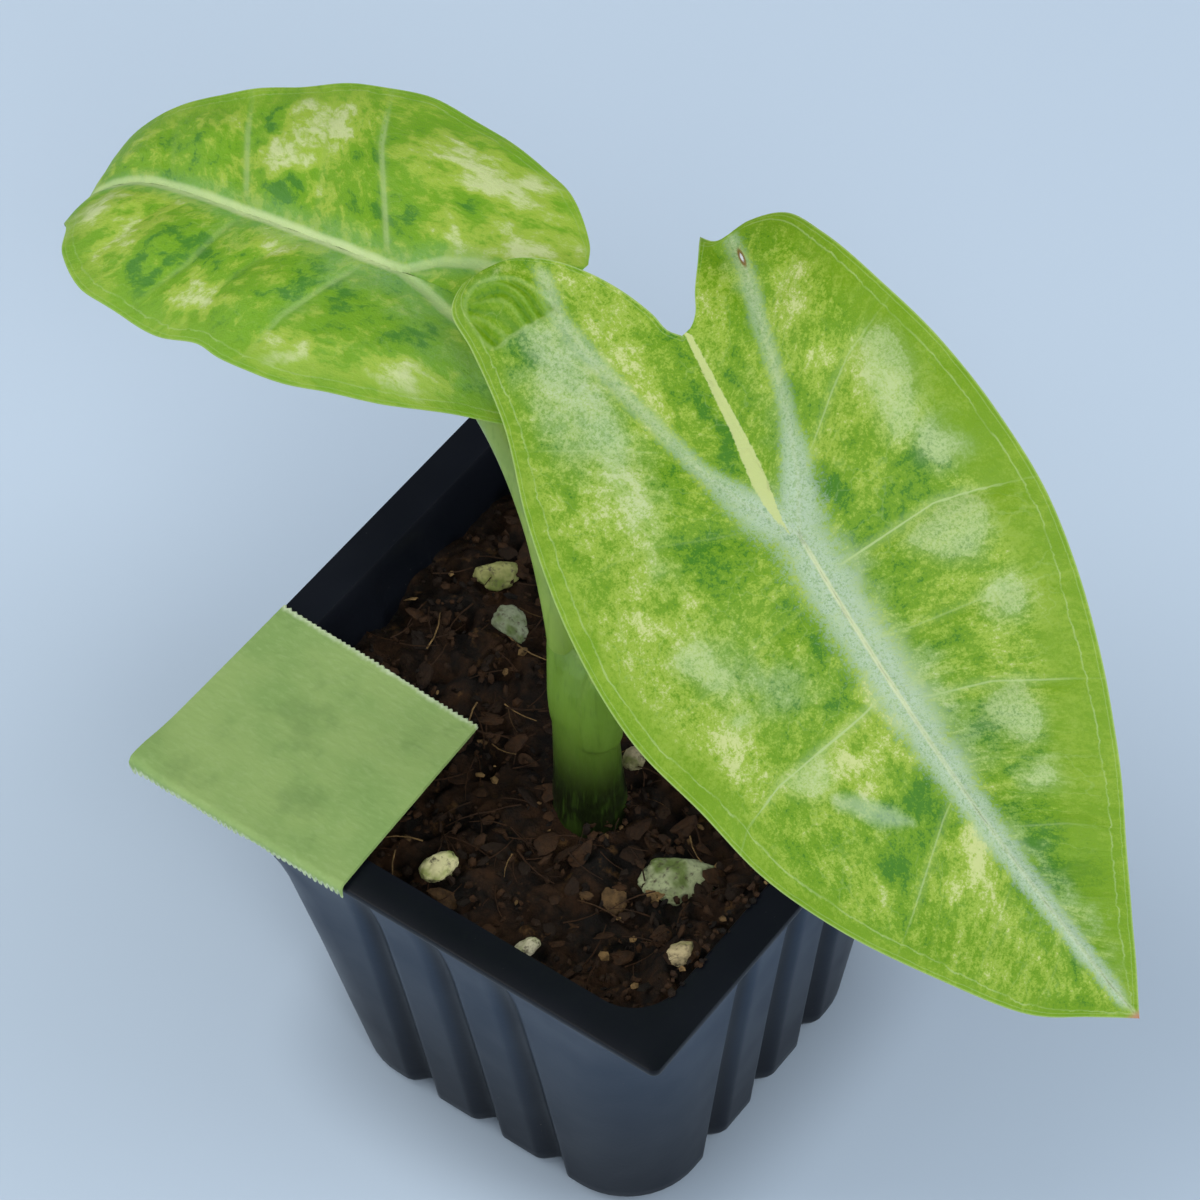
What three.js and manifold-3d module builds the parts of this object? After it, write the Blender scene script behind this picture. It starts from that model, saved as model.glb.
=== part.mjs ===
// A young alocasia longiloba with two leaves in a small square nursery pot, in millimetres.
// The origin is the middle of the pot's underside, +Z is up, and the pot's sides lie along X and Y.
import * as THREE from 'three';
import { mergeVertices } from 'three/addons/utils/BufferGeometryUtils.js';
import Module from 'manifold-3d';

const wasm = await Module();
wasm.setup();

// Driving dimensions of the pot
const RIM_WIDTH = 60;
const RIM_CORNER = 0.8;
const POT_HEIGHT = 50;
const WALL = 0.9;
const MOUTH_WIDTH = 52;
const COLLAR_HEIGHT = 9;
const SHOULDER_DROP = 1.5;
const SHOULDER_WIDTH = 49;
const BASE_WIDTH = 38.4;
const BASE_EDGE = 1.2;
const COLLAR_DRAFT = 0.4;
const CORNER_TOP = 5.5;
const CORNER_BODY = 8.5;
const CORNER_BASE = 8;
const FLUTE_PITCH = 8;
const FLUTE_WIDTH = 3.8;
const FLUTE_DEPTH_TOP = 0.7;
const FLUTE_DEPTH_BASE = 1.3;
const DRAIN_WIDTH = 6;
const DRAIN_PITCH = 18;

// Clearance between pieces that touch
const GAP = 0.3;

// Driving dimensions of the planting
const SOIL_LEVEL = 44;
const SOIL_LUMP = 0.9;
const SOIL_EDGE_DROP = 0.5;
const SOIL_BANK = 4;
const SOIL_BANK_FROM = 15.5;
const SOIL_MOUND = 0.9;
const SOIL_MOUND_REACH = 7.7;
const STEM_AT = new THREE.Vector2(4.5, -5.6);
const STEM_WIDTH = 7;
const STEM_DEPTH = 6.4;
const STEM_TURN = -10;
const STEM_ROOT = 32;
const STEM_TOP = 58;
const BLADE_THICKNESS = 0.7;
const RIB_HEIGHT = 1.2;
const RIB_WIDTH = 1.3;
const PETIOLE_FOOT_WIDTH = 3.6;
const PETIOLE_TOP_WIDTH = 3.0;

const plant = new THREE.Group();

function colour(hex, roughness) {
  return new THREE.MeshStandardMaterial({ color: hex, roughness, metalness: 0 });
}

function addPiece(name, geometry, material) {
  const mesh = new THREE.Mesh(geometry, material);
  mesh.name = name;
  plant.add(mesh);
  return mesh;
}

// A closed body from triangles on a list of points
function bodyFrom(points, faces) {
  const geometry = new THREE.BufferGeometry();
  const numbers = points.flatMap((p) => [p.x, p.y, p.z]);
  geometry.setAttribute('position', new THREE.Float32BufferAttribute(numbers, 3));
  geometry.setIndex(faces.flat());
  return mergeVertices(geometry, 1e-5);
}

// Rings of equal length joined one after another, with a fan over the first and the last
function loft(rings) {
  const count = rings[0].length;
  const points = rings.flat();
  const faces = [];
  for (let r = 0; r + 1 < rings.length; r += 1) {
    for (let i = 0; i < count; i += 1) {
      const a = r * count + i;
      const b = r * count + ((i + 1) % count);
      faces.push([a, b, b + count], [a, b + count, a + count]);
    }
  }
  for (const [r, flip] of [[0, true], [rings.length - 1, false]]) {
    const middle = new THREE.Vector3();
    rings[r].forEach((p) => middle.addScaledVector(p, 1 / count));
    points.push(middle);
    const hub = points.length - 1;
    for (let i = 0; i < count; i += 1) {
      const a = r * count + i;
      const b = r * count + ((i + 1) % count);
      faces.push(flip ? [hub, b, a] : [hub, a, b]);
    }
  }
  return bodyFrom(points, faces);
}

// Cuts and joins on closed bodies
function solidOf(geometry) {
  const plain = geometry.clone();
  plain.deleteAttribute('normal');
  plain.deleteAttribute('uv');
  const merged = mergeVertices(plain, 1e-5);
  return new wasm.Manifold(new wasm.Mesh({
    numProp: 3,
    vertProperties: Float32Array.from(merged.attributes.position.array),
    triVerts: Uint32Array.from(merged.index.array),
  }));
}

function geometryOf(solid) {
  const mesh = solid.getMesh();
  const geometry = new THREE.BufferGeometry();
  geometry.setAttribute('position', new THREE.Float32BufferAttribute(mesh.vertProperties, 3));
  geometry.setIndex(Array.from(mesh.triVerts));
  return geometry;
}

// Repeatable random numbers from 0 to 1
function randomFrom(seed) {
  let state = seed;
  return () => {
    state = (state * 1664525 + 1013904223) % 4294967296;
    return state / 4294967296;
  };
}

// One level section of the pot: a square with round corners and three flutes pressed into each side
function squareRing(width, corner, flute, z, cornerSteps = 6, fluted = true) {
  const half = width / 2;
  const ring = [];
  for (let side = 0; side < 4; side += 1) {
    const turn = (side * Math.PI) / 2;
    const place = (along, out) => {
      const x = out * Math.cos(turn) - along * Math.sin(turn);
      const y = out * Math.sin(turn) + along * Math.cos(turn);
      ring.push(new THREE.Vector3(x, y, z));
    };
    const stations = fluted ? [-3, -2, -1, 0, 1, 2, 3] : [0];
    for (const middle of [-FLUTE_PITCH, 0, FLUTE_PITCH]) {
      for (const k of stations) {
        const along = middle + (k * FLUTE_WIDTH) / 6;
        const press = flute * Math.cos((k * Math.PI) / 6) ** 2;
        place(along, half - press);
      }
    }
    for (let i = 0; i <= cornerSteps; i += 1) {
      const t = (i * Math.PI) / 2 / cornerSteps;
      place(half - corner + corner * Math.sin(t), half - corner + corner * Math.cos(t));
    }
  }
  return ring;
}

// The pot is one thin moulded shell: base, fluted walls, collar and a flat turned-out rim
const COLLAR_LOW = POT_HEIGHT - COLLAR_HEIGHT;
const BODY_TOP = COLLAR_LOW - SHOULDER_DROP;

function bodyWidth(z) {
  return THREE.MathUtils.lerp(BASE_WIDTH, SHOULDER_WIDTH, z / BODY_TOP);
}

function potGeometry() {
  const outer = MOUTH_WIDTH + 2 * WALL;
  const rings = [
    squareRing(BASE_WIDTH - 2 * BASE_EDGE, CORNER_BASE - BASE_EDGE, FLUTE_DEPTH_BASE, 0),
    squareRing(BASE_WIDTH - 0.6 * BASE_EDGE, CORNER_BASE, FLUTE_DEPTH_BASE, 0.3 * BASE_EDGE),
    squareRing(bodyWidth(BASE_EDGE), CORNER_BASE, FLUTE_DEPTH_BASE, BASE_EDGE),
    squareRing(bodyWidth(BODY_TOP / 2), CORNER_BODY, (FLUTE_DEPTH_BASE + FLUTE_DEPTH_TOP) / 2, BODY_TOP / 2),
    squareRing(SHOULDER_WIDTH, CORNER_BODY, FLUTE_DEPTH_TOP, BODY_TOP),
    squareRing(outer - COLLAR_DRAFT, CORNER_TOP, 0, COLLAR_LOW),
    squareRing(outer, CORNER_TOP, 0, POT_HEIGHT - WALL),
    squareRing(RIM_WIDTH, RIM_CORNER, 0, POT_HEIGHT - WALL),
    squareRing(RIM_WIDTH, RIM_CORNER, 0, POT_HEIGHT),
    squareRing(MOUTH_WIDTH, CORNER_TOP - WALL, 0, POT_HEIGHT),
    squareRing(outer - COLLAR_DRAFT - 2 * WALL, CORNER_TOP - WALL, 0, COLLAR_LOW + GAP),
    squareRing(SHOULDER_WIDTH - 2 * WALL, CORNER_BODY - WALL, FLUTE_DEPTH_TOP, BODY_TOP + GAP),
    squareRing(
      bodyWidth(BODY_TOP / 2) - 2 * WALL,
      CORNER_BODY - WALL,
      (FLUTE_DEPTH_BASE + FLUTE_DEPTH_TOP) / 2,
      BODY_TOP / 2,
    ),
    squareRing(bodyWidth(WALL) - 2 * WALL, CORNER_BASE - WALL, FLUTE_DEPTH_BASE, WALL),
  ];
  let shell = solidOf(loft(rings));
  for (const x of [-1, 1]) {
    for (const y of [-1, 1]) {
      const drain = new THREE.CylinderGeometry(DRAIN_WIDTH / 2, DRAIN_WIDTH / 2, 4 * WALL, 16);
      drain.rotateX(Math.PI / 2);
      drain.translate((x * DRAIN_PITCH) / 2, (y * DRAIN_PITCH) / 2, 0);
      shell = shell.subtract(solidOf(drain));
    }
  }
  return geometryOf(shell);
}

// Lumps of the potting mix: a sum of a few waves with seeded directions
const lumpRandom = randomFrom(41);
const LUMPS = [22, 14, 9.5, 7, 5.6, 4.6].map((length, i) => ({
  length,
  turn: lumpRandom() * Math.PI * 2,
  shift: lumpRandom() * Math.PI * 2,
  size: 0.42 / (1 + 0.35 * i),
}));

function soilHeight(x, y) {
  let sum = 0;
  for (const wave of LUMPS) {
    const along = x * Math.cos(wave.turn) + y * Math.sin(wave.turn);
    const across = y * Math.cos(wave.turn) - x * Math.sin(wave.turn);
    const phase = (2 * Math.PI * along) / wave.length + wave.shift;
    sum += wave.size * Math.sin(phase + 0.9 * Math.sin((2 * Math.PI * across) / (1.7 * wave.length)));
  }
  const fromStem = Math.hypot(x - STEM_AT.x, y - STEM_AT.y) / SOIL_MOUND_REACH;
  const mound = SOIL_MOUND * Math.exp(-(fromStem ** 2));
  const bank = SOIL_BANK * THREE.MathUtils.smoothstep(x, SOIL_BANK_FROM, MOUTH_WIDTH / 2);
  return SOIL_LEVEL + SOIL_LUMP * sum + mound + bank;
}

// A pumice chip: a round grain knocked out of shape, wider than it is tall
function chipGeometry(chip, grow) {
  const random = randomFrom(chip.seed);
  const knocks = Array.from({ length: 5 }, () => new THREE.Vector3(
    random() * 2 - 1,
    random() * 2 - 1,
    random() * 2 - 1,
  ).normalize());
  const grain = new THREE.IcosahedronGeometry(1, 2);
  grain.deleteAttribute('normal');
  grain.deleteAttribute('uv');
  const ball = mergeVertices(grain, 1e-4);
  const places = ball.attributes.position;
  const p = new THREE.Vector3();
  for (let i = 0; i < places.count; i += 1) {
    p.fromBufferAttribute(places, i).normalize();
    let reach = 1;
    knocks.forEach((k) => {
      reach -= 0.28 * Math.max(0, p.dot(k) - 0.55) / 0.45;
    });
    p.set(
      p.x * (reach * chip.width / 2 + grow),
      p.y * (reach * chip.width * chip.slim / 2 + grow),
      p.z * (reach * chip.width * chip.low / 2 + grow),
    );
    places.setXYZ(i, p.x, p.y, p.z);
  }
  ball.rotateZ(chip.turn);
  ball.translate(chip.x, chip.y, soilHeight(chip.x, chip.y) + chip.lift);
  return ball;
}

// Where the larger chips lie in the mix
const CHIPS = [
  { x: 16.6, y: -8.4, width: 7.4, slim: 0.72, low: 0.6, turn: 0.6, lift: 0.6, seed: 3 },
  { x: -1.9, y: -20.4, width: 4.2, slim: 0.85, low: 0.75, turn: 1.9, lift: 0.5, seed: 8 },
  { x: -19.0, y: 10.6, width: 4.8, slim: 0.7, low: 0.65, turn: 0.9, lift: 0.4, seed: 12 },
  { x: -13.4, y: 5.8, width: 4.6, slim: 0.75, low: 0.6, turn: 2.5, lift: 0.4, seed: 17 },
  { x: 23.6, y: -17.6, width: 3.2, slim: 0.7, low: 0.7, turn: 1.1, lift: 0.4, seed: 23 },
  { x: 10.0, y: -22.6, width: 2.8, slim: 0.8, low: 0.7, turn: 1.1, lift: 0.3, seed: 31 },
  { x: 5.6, y: -0.1, width: 3, slim: 0.8, low: 0.75, turn: 2.0, lift: 0.4, seed: 37 },
];

// The stem: leaf sheaths wrapped round each other, standing in the mix on a rounded root end
function stemRing(scaleWidth, scaleDepth, z, grow) {
  const ring = [];
  const steps = 20;
  const turn = THREE.MathUtils.degToRad(STEM_TURN);
  for (let i = 0; i < steps; i += 1) {
    const t = (i * 2 * Math.PI) / steps;
    const x = ((STEM_WIDTH * scaleWidth) / 2 + grow) * Math.cos(t);
    const y = ((STEM_DEPTH * scaleDepth) / 2 + grow) * Math.sin(t);
    ring.push(new THREE.Vector3(
      STEM_AT.x + x * Math.cos(turn) - y * Math.sin(turn),
      STEM_AT.y + x * Math.sin(turn) + y * Math.cos(turn),
      z,
    ));
  }
  return ring;
}

const STEM_PROFILE = [
  { width: 0.35, depth: 0.4, z: STEM_ROOT },
  { width: 0.85, depth: 0.95, z: STEM_ROOT + 1.2 },
  { width: 1.1, depth: 1.2, z: STEM_ROOT + 4 },
  { width: 1.12, depth: 1.2, z: STEM_ROOT + 8 },
  { width: 1.02, depth: 1.06, z: SOIL_LEVEL },
  { width: 0.98, depth: 0.9, z: SOIL_LEVEL + 5 },
  { width: 0.98, depth: 0.76, z: SOIL_LEVEL + 10 },
  { width: 1.0, depth: 0.62, z: STEM_TOP },
];

function stemGeometry() {
  return loft(STEM_PROFILE.map((p) => stemRing(p.width, p.depth, p.z, 0)));
}

// The mix fills the pot, with a plain hole for the stem and a dimple under each chip
function soilGeometry() {
  const side = (width, corner, z) => squareRing(width - 2 * WALL - 2 * GAP, corner, 0, z, 4, false);
  const edge = side(MOUTH_WIDTH + 2 * WALL - COLLAR_DRAFT, CORNER_TOP - WALL - GAP, COLLAR_LOW + 3 * GAP);
  const rings = [
    side(bodyWidth(0) - 2 * FLUTE_DEPTH_BASE, CORNER_BASE - WALL - GAP, WALL + GAP),
    side(SHOULDER_WIDTH - 2 * FLUTE_DEPTH_TOP, CORNER_BODY - WALL - GAP, BODY_TOP),
    edge,
    edge.map((p) => new THREE.Vector3(p.x, p.y, soilHeight(p.x, p.y) - SOIL_EDGE_DROP)),
  ];
  const steps = 13;
  for (let k = 0; k < steps; k += 1) {
    const shrink = 0.985 * (1 - k / steps);
    rings.push(edge.map((p) => {
      const x = p.x * shrink;
      const y = p.y * shrink;
      return new THREE.Vector3(x, y, soilHeight(x, y));
    }));
  }
  let soil = solidOf(loft(rings));
  const open = STEM_PROFILE.slice(2, 5);
  const hole = loft([
    stemRing(0.35, 0.4, STEM_ROOT - GAP, GAP),
    stemRing(0.85, 0.95, STEM_ROOT + 0.8, GAP),
    ...open.map((p) => stemRing(p.width, p.depth, p.z, GAP)),
    stemRing(1.02, 1.06, SOIL_LEVEL + 6, GAP),
  ]);
  soil = soil.subtract(solidOf(hole));
  for (const chip of CHIPS) {
    soil = soil.subtract(solidOf(chipGeometry(chip, GAP)));
  }
  return geometryOf(soil);
}

// A leaf blade is laid out flat, u along the midrib from the leafstalk and v to the side,
// then bent along the midrib, arched across it and set on its stalk at the right slope.
const BLADE_FRONT = {
  junction: new THREE.Vector3(28.5, -5.5, 99),
  heading: -19,
  pitch: 31,
  roll: 20,
  tipArcs: [[30, 10], [25, 24]],
  lobeArcs: [[20, 4], [15, 14]],
  sway: 0.0017,
  swayFrom: 0,
  rise: 0.16,
  drop: 0.01,
  curlFrom: -12,
  curl: 0.025,
  sinus: -19.2,
  tip: 50.5,
  quilt: 0.35,
  quiltPitch: 13,
  left: [
    [-32.6, -11.5], [-32.4, -13.8], [-31, -15.5], [-27, -15.7], [-20.4, -16.5], [-12, -19], [-2, -20.7],
    [8, -20.7], [16, -19], [23, -17.8], [30, -15.2], [37.5, -11.2], [44.6, -6.8], [47.6, -3.2],
  ],
  leftLobe: [[-32.2, -9], [-30.5, -6.4], [-28, -4.2], [-25, -2.4], [-22, -1.2], [-20.2, -0.8]],
  right: [
    [-27.1, 5.7], [-25.7, 6.7], [-25.9, 10], [-24.8, 12.9], [-21, 14.6], [-14.9, 16.5],
    [-8.2, 18.3], [-1, 19.3], [7, 19.4], [14, 18.1], [21, 15.8], [29, 12.2], [36, 8.2], [44, 3.7],
  ],
  rightLobe: [[-24.6, 4.4], [-22, 2.8], [-20.3, 1.9], [-19.4, 0.9]],
};

const BLADE_BACK = {
  junction: new THREE.Vector3(-15, -3, 102),
  heading: -174,
  pitch: 1,
  roll: -6,
  tipArcs: [[25.5, 6], [5.8, 30], [7, 108]],
  lobeArcs: [[18, 12]],
  sway: 0.02,
  swayFrom: 22,
  rise: 0.14,
  drop: 0.01,
  curlFrom: -40,
  curl: 0,
  sinus: -8,
  tip: 38.3,
  quilt: 0.35,
  quiltPitch: 11,
  left: [
    [-14, -8], [-13, -10], [-9, -13.7], [-5, -15.5], [3, -17.6], [9, -18.3],
    [15, -16.8], [20, -14], [25, -11], [30, -8.4], [33.5, -5.6], [36.5, -2.2],
  ],
  leftLobe: [[-13.4, -5.5], [-11.2, -2.8], [-9, -1.4]],
  right: [
    [-18, 6.5], [-17, 9], [-11, 11.2], [-4, 13.2], [3, 14.5], [9.3, 14.7], [12, 14.2], [15.5, 14.7],
    [20, 14.1], [24.9, 13], [28.8, 9.4], [31, 5.4], [34.5, 2.6],
  ],
  rightLobe: [[-17.2, 4], [-13.6, 2], [-9.8, 1.3]],
};

// Length and angle along a chain of arcs, each given as [length, turn in degrees]
function alongArcs(distance, arcs) {
  let x = 0;
  let h = 0;
  let angle = 0;
  let rest = distance;
  for (const [length, degrees] of arcs) {
    const step = Math.min(rest, length);
    const bend = THREE.MathUtils.degToRad(degrees) / length;
    const next = angle + bend * step;
    x += (Math.sin(next) - Math.sin(angle)) / bend;
    h -= (Math.cos(angle) - Math.cos(next)) / bend;
    angle = next;
    rest -= step;
    if (rest <= 0) break;
  }
  x += Math.max(rest, 0) * Math.cos(angle);
  h -= Math.max(rest, 0) * Math.sin(angle);
  return { x, h, angle };
}

function bladeAxes(blade) {
  const heading = THREE.MathUtils.degToRad(blade.heading);
  const pitch = THREE.MathUtils.degToRad(blade.pitch);
  const roll = THREE.MathUtils.degToRad(blade.roll);
  const along = new THREE.Vector3(
    Math.cos(heading) * Math.cos(pitch),
    Math.sin(heading) * Math.cos(pitch),
    -Math.sin(pitch),
  );
  const level = new THREE.Vector3(-Math.sin(heading), Math.cos(heading), 0);
  const up = new THREE.Vector3().crossVectors(along, level);
  const side = level.multiplyScalar(Math.cos(roll)).addScaledVector(up, Math.sin(roll));
  return { along, side, up: new THREE.Vector3().crossVectors(along, side) };
}

// The place of a point of the blade's upper face, lowered by depth along the blade's own normal
function bladePoint(blade, axes, u, v, bulge, depth) {
  const forward = u > 0;
  const arc = alongArcs(Math.abs(u), forward ? blade.tipArcs : blade.lobeArcs);
  const angle = forward ? arc.angle : -arc.angle;
  let arch = blade.rise * Math.abs(v) - blade.drop * v * v + bulge;
  if (v > 0 && u < blade.curlFrom) {
    arch -= blade.curl * (blade.curlFrom - u) ** 2 * Math.min(v / 6, 1);
  }
  const lift = arch - depth;
  const x = (forward ? arc.x : -arc.x) + lift * Math.sin(angle);
  const z = arc.h + lift * Math.cos(angle);
  const y = v + blade.sway * Math.max(u - blade.swayFrom, 0) ** 2;
  return blade.junction.clone()
    .addScaledVector(axes.along, x)
    .addScaledVector(axes.side, y)
    .addScaledVector(axes.up, z);
}

function flatCurve(points) {
  const corners = points.map(([u, v]) => new THREE.Vector3(u, v, 0));
  return new THREE.CatmullRomCurve3(corners, false, 'centripetal');
}

// Each half of the blade is a grid of rows from the lobe's end to the tip. A row runs from the
// inner line, which is the lobe's inner edge and then the midrib, to the outer edge.
const LOBE_ROWS = 8;
const RIB_ROWS = 26;
const TIP_CROWDING = 1.3;
const ROWS = LOBE_ROWS + RIB_ROWS;
const COLUMNS = [0, 0.05, 0.12, 0.24, 0.4, 0.58, 0.78, 1];
const RIB_RUN_OUT = 6;
const QUILT_SLANT = 0.8;
const CHANNEL = 0.3;
const FULL_SPAN = 8;

function halfRows(blade, outer, lobe) {
  const end = outer[0];
  const edge = flatCurve([...outer, [blade.tip, 0]]);
  const inner = flatCurve([end, ...lobe, [blade.sinus, 0]]);
  const lobeLength = inner.getLength();
  const share = lobeLength / (lobeLength + blade.tip - blade.sinus);
  const rows = [];
  for (let i = 0; i <= ROWS; i += 1) {
    const onRib = 1 - (1 - Math.max(i - LOBE_ROWS, 0) / RIB_ROWS) ** TIP_CROWDING;
    const onLobe = Math.min(i / LOBE_ROWS, 1);
    const out = edge.getPointAt(share * onLobe + (1 - share) * onRib);
    const start = i < LOBE_ROWS
      ? inner.getPointAt(onLobe)
      : new THREE.Vector3(THREE.MathUtils.lerp(blade.sinus, blade.tip, onRib), 0, 0);
    rows.push(COLUMNS.map((t) => start.clone().lerp(out, t)));
  }
  return rows;
}

// How far the blade's face stands up between its side veins, and sinks in at the midrib
function bladeBulge(blade, p, t, span, midrib) {
  const vein = (2 * Math.PI * (p.x - QUILT_SLANT * Math.abs(p.y))) / blade.quiltPitch;
  const quilt = blade.quilt * Math.min(span / FULL_SPAN, 1) * Math.sin(Math.PI * t) * Math.cos(vein);
  const channel = CHANNEL * Math.min((blade.tip - p.x) / FULL_SPAN, 1) * (1 - t) ** 8;
  return midrib ? quilt - channel : quilt;
}

// How far the midrib stands out under the blade
function ribDepth(blade, p) {
  const fade = p.x < 0 ? 1 + p.x / RIB_RUN_OUT : 1 - p.x / blade.tip;
  return RIB_HEIGHT * Math.max(fade, 0) * Math.exp(-((p.y / RIB_WIDTH) ** 2));
}

function bladeGeometry(blade) {
  const axes = bladeAxes(blade);
  const points = [];
  const faces = [];
  for (const [outer, lobe, sign] of [[blade.left, blade.leftLobe, -1], [blade.right, blade.rightLobe, 1]]) {
    const base = points.length;
    halfRows(blade, outer, lobe).forEach((row, i) => {
      const span = row[0].distanceTo(row[row.length - 1]);
      row.forEach((p, k) => {
        const bulge = bladeBulge(blade, p, COLUMNS[k], span, i > LOBE_ROWS);
        points.push(bladePoint(blade, axes, p.x, p.y, bulge, 0));
        points.push(bladePoint(blade, axes, p.x, p.y, bulge, BLADE_THICKNESS + ribDepth(blade, p)));
      });
    });
    const index = (i, k, under) => base + 2 * (i * COLUMNS.length + k) + under;
    const quad = (a, b, c, d) => {
      faces.push(sign < 0 ? [a, c, b] : [a, b, c]);
      faces.push(sign < 0 ? [a, d, c] : [a, c, d]);
    };
    const last = COLUMNS.length - 1;
    for (let i = 0; i < ROWS; i += 1) {
      for (let k = 0; k < last; k += 1) {
        quad(index(i, k, 0), index(i + 1, k, 0), index(i + 1, k + 1, 0), index(i, k + 1, 0));
        quad(index(i, k + 1, 1), index(i + 1, k + 1, 1), index(i + 1, k, 1), index(i, k, 1));
      }
      quad(index(i, last, 0), index(i + 1, last, 0), index(i + 1, last, 1), index(i, last, 1));
      if (i < LOBE_ROWS) {
        quad(index(i, 0, 1), index(i + 1, 0, 1), index(i + 1, 0, 0), index(i, 0, 0));
      }
    }
  }
  return withoutFlatFaces(bodyFrom(points, faces));
}

// Drops triangles that closed up to a line where a row of the grid shrinks to one point
function withoutFlatFaces(geometry) {
  const index = geometry.index.array;
  const kept = [];
  for (let i = 0; i < index.length; i += 3) {
    const [a, b, c] = [index[i], index[i + 1], index[i + 2]];
    if (a !== b && b !== c && c !== a) kept.push(a, b, c);
  }
  geometry.setIndex(kept);
  return geometry;
}

const STALK_RINGS = 22;
const STALK_SIDES = 12;

// A leafstalk: a round tube along a curve, tapering towards the blade, with its upper end cut
// along the underside of the blade
function stalkGeometry(waypoints, blade) {
  const path = new THREE.CatmullRomCurve3(waypoints.map((p) => new THREE.Vector3(...p)), false, 'centripetal');
  const steps = STALK_RINGS;
  const sides = STALK_SIDES;
  const frames = path.computeFrenetFrames(steps, false);
  const rings = [];
  for (let i = 0; i <= steps; i += 1) {
    const middle = path.getPointAt(i / steps);
    const radius = THREE.MathUtils.lerp(PETIOLE_FOOT_WIDTH, PETIOLE_TOP_WIDTH, i / steps) / 2;
    const ring = [];
    for (let k = 0; k < sides; k += 1) {
      const t = (k * 2 * Math.PI) / sides;
      ring.push(middle.clone()
        .addScaledVector(frames.normals[i], radius * Math.cos(t))
        .addScaledVector(frames.binormals[i], radius * Math.sin(t)));
    }
    rings.push(ring);
  }
  const under = stalkEnd(blade);
  const { up } = bladeAxes(blade);
  const onwards = path.getTangentAt(1);
  for (const p of rings[steps]) {
    const short = under.clone().sub(p).dot(up) / onwards.dot(up);
    p.addScaledVector(onwards, short);
  }
  return loft(rings);
}

// Where a stalk ends: just under the blade's rib at the junction
function stalkEnd(blade) {
  return bladePoint(blade, bladeAxes(blade), 0, 0, 0, BLADE_THICKNESS + RIB_HEIGHT + GAP);
}

const STALK_FRONT = [
  [6.5, -6.2, STEM_TOP + GAP], [7.6, -6.2, 65], [10.8, -6, 75], [15.6, -5.6, 84.5],
  [21.6, -4.9, 91.8], stalkEnd(BLADE_FRONT).toArray(),
];
const STALK_BACK = [
  [2.6, -5.2, STEM_TOP + GAP], [2.5, -5.1, 64], [1.8, -5, 71.5], [-0.1, -4.7, 81],
  [-3.4, -4.3, 89], [-8.4, -3.7, 95.2], stalkEnd(BLADE_BACK).toArray(),
];

// A square of paper tape laid over one corner of the rim, with toothed ends where it was torn off
const TAPE_THICKNESS = 0.4;
const TAPE_CORNERS = [[-30, -28.8], [-4.9, -29.8], [-6.1, -8.3], [-29.8, -7.7]];
const TAPE_TEETH = 20;
const TAPE_TOOTH_DEPTH = 0.35;
const TAPE_ROWS = 5;
const TAPE_SAG = { x: -8, y: -9, depth: 0.5, reach: 9.5 };
const TAPE_LIFT = { x: -30, y: -29, height: 0.5, reach: 2.8 };

// The tape's free corner sags over the mouth and its outer corner is lifted a little
function tapeHeight(x, y) {
  const near = (spot) => Math.exp(-((Math.hypot(x - spot.x, y - spot.y) / spot.reach) ** 2));
  return TAPE_LIFT.height * near(TAPE_LIFT) - TAPE_SAG.depth * near(TAPE_SAG);
}

function tapeGeometry() {
  const [near, right, far, left] = TAPE_CORNERS.map(([x, y]) => new THREE.Vector2(x, y));
  const across = 2 * TAPE_TEETH;
  const points = [];
  const faces = [];
  for (let j = 0; j <= TAPE_ROWS; j += 1) {
    for (let i = 0; i <= across; i += 1) {
      const s = i / across;
      const low = near.clone().lerp(right, s);
      const high = left.clone().lerp(far, s);
      const p = low.lerp(high, j / TAPE_ROWS);
      if (j === 0) p.y -= TAPE_TOOTH_DEPTH * ((i % 2) - 0.5);
      if (j === TAPE_ROWS) p.y += TAPE_TOOTH_DEPTH * ((i % 2) - 0.5);
      const z = POT_HEIGHT + GAP + tapeHeight(p.x, p.y);
      points.push(new THREE.Vector3(p.x, p.y, z + TAPE_THICKNESS));
      points.push(new THREE.Vector3(p.x, p.y, z));
    }
  }
  const index = (i, j, under) => 2 * (j * (across + 1) + i) + under;
  const quad = (a, b, c, d) => faces.push([a, b, c], [a, c, d]);
  for (let j = 0; j < TAPE_ROWS; j += 1) {
    for (let i = 0; i < across; i += 1) {
      quad(index(i, j, 0), index(i + 1, j, 0), index(i + 1, j + 1, 0), index(i, j + 1, 0));
      quad(index(i, j + 1, 1), index(i + 1, j + 1, 1), index(i + 1, j, 1), index(i, j, 1));
    }
    quad(index(0, j, 1), index(0, j, 0), index(0, j + 1, 0), index(0, j + 1, 1));
    quad(index(across, j, 0), index(across, j, 1), index(across, j + 1, 1), index(across, j + 1, 0));
  }
  for (let i = 0; i < across; i += 1) {
    quad(index(i, 0, 1), index(i + 1, 0, 1), index(i + 1, 0, 0), index(i, 0, 0));
    quad(index(i, TAPE_ROWS, 0), index(i + 1, TAPE_ROWS, 0), index(i + 1, TAPE_ROWS, 1), index(i, TAPE_ROWS, 1));
  }
  return bodyFrom(points, faces);
}

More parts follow.
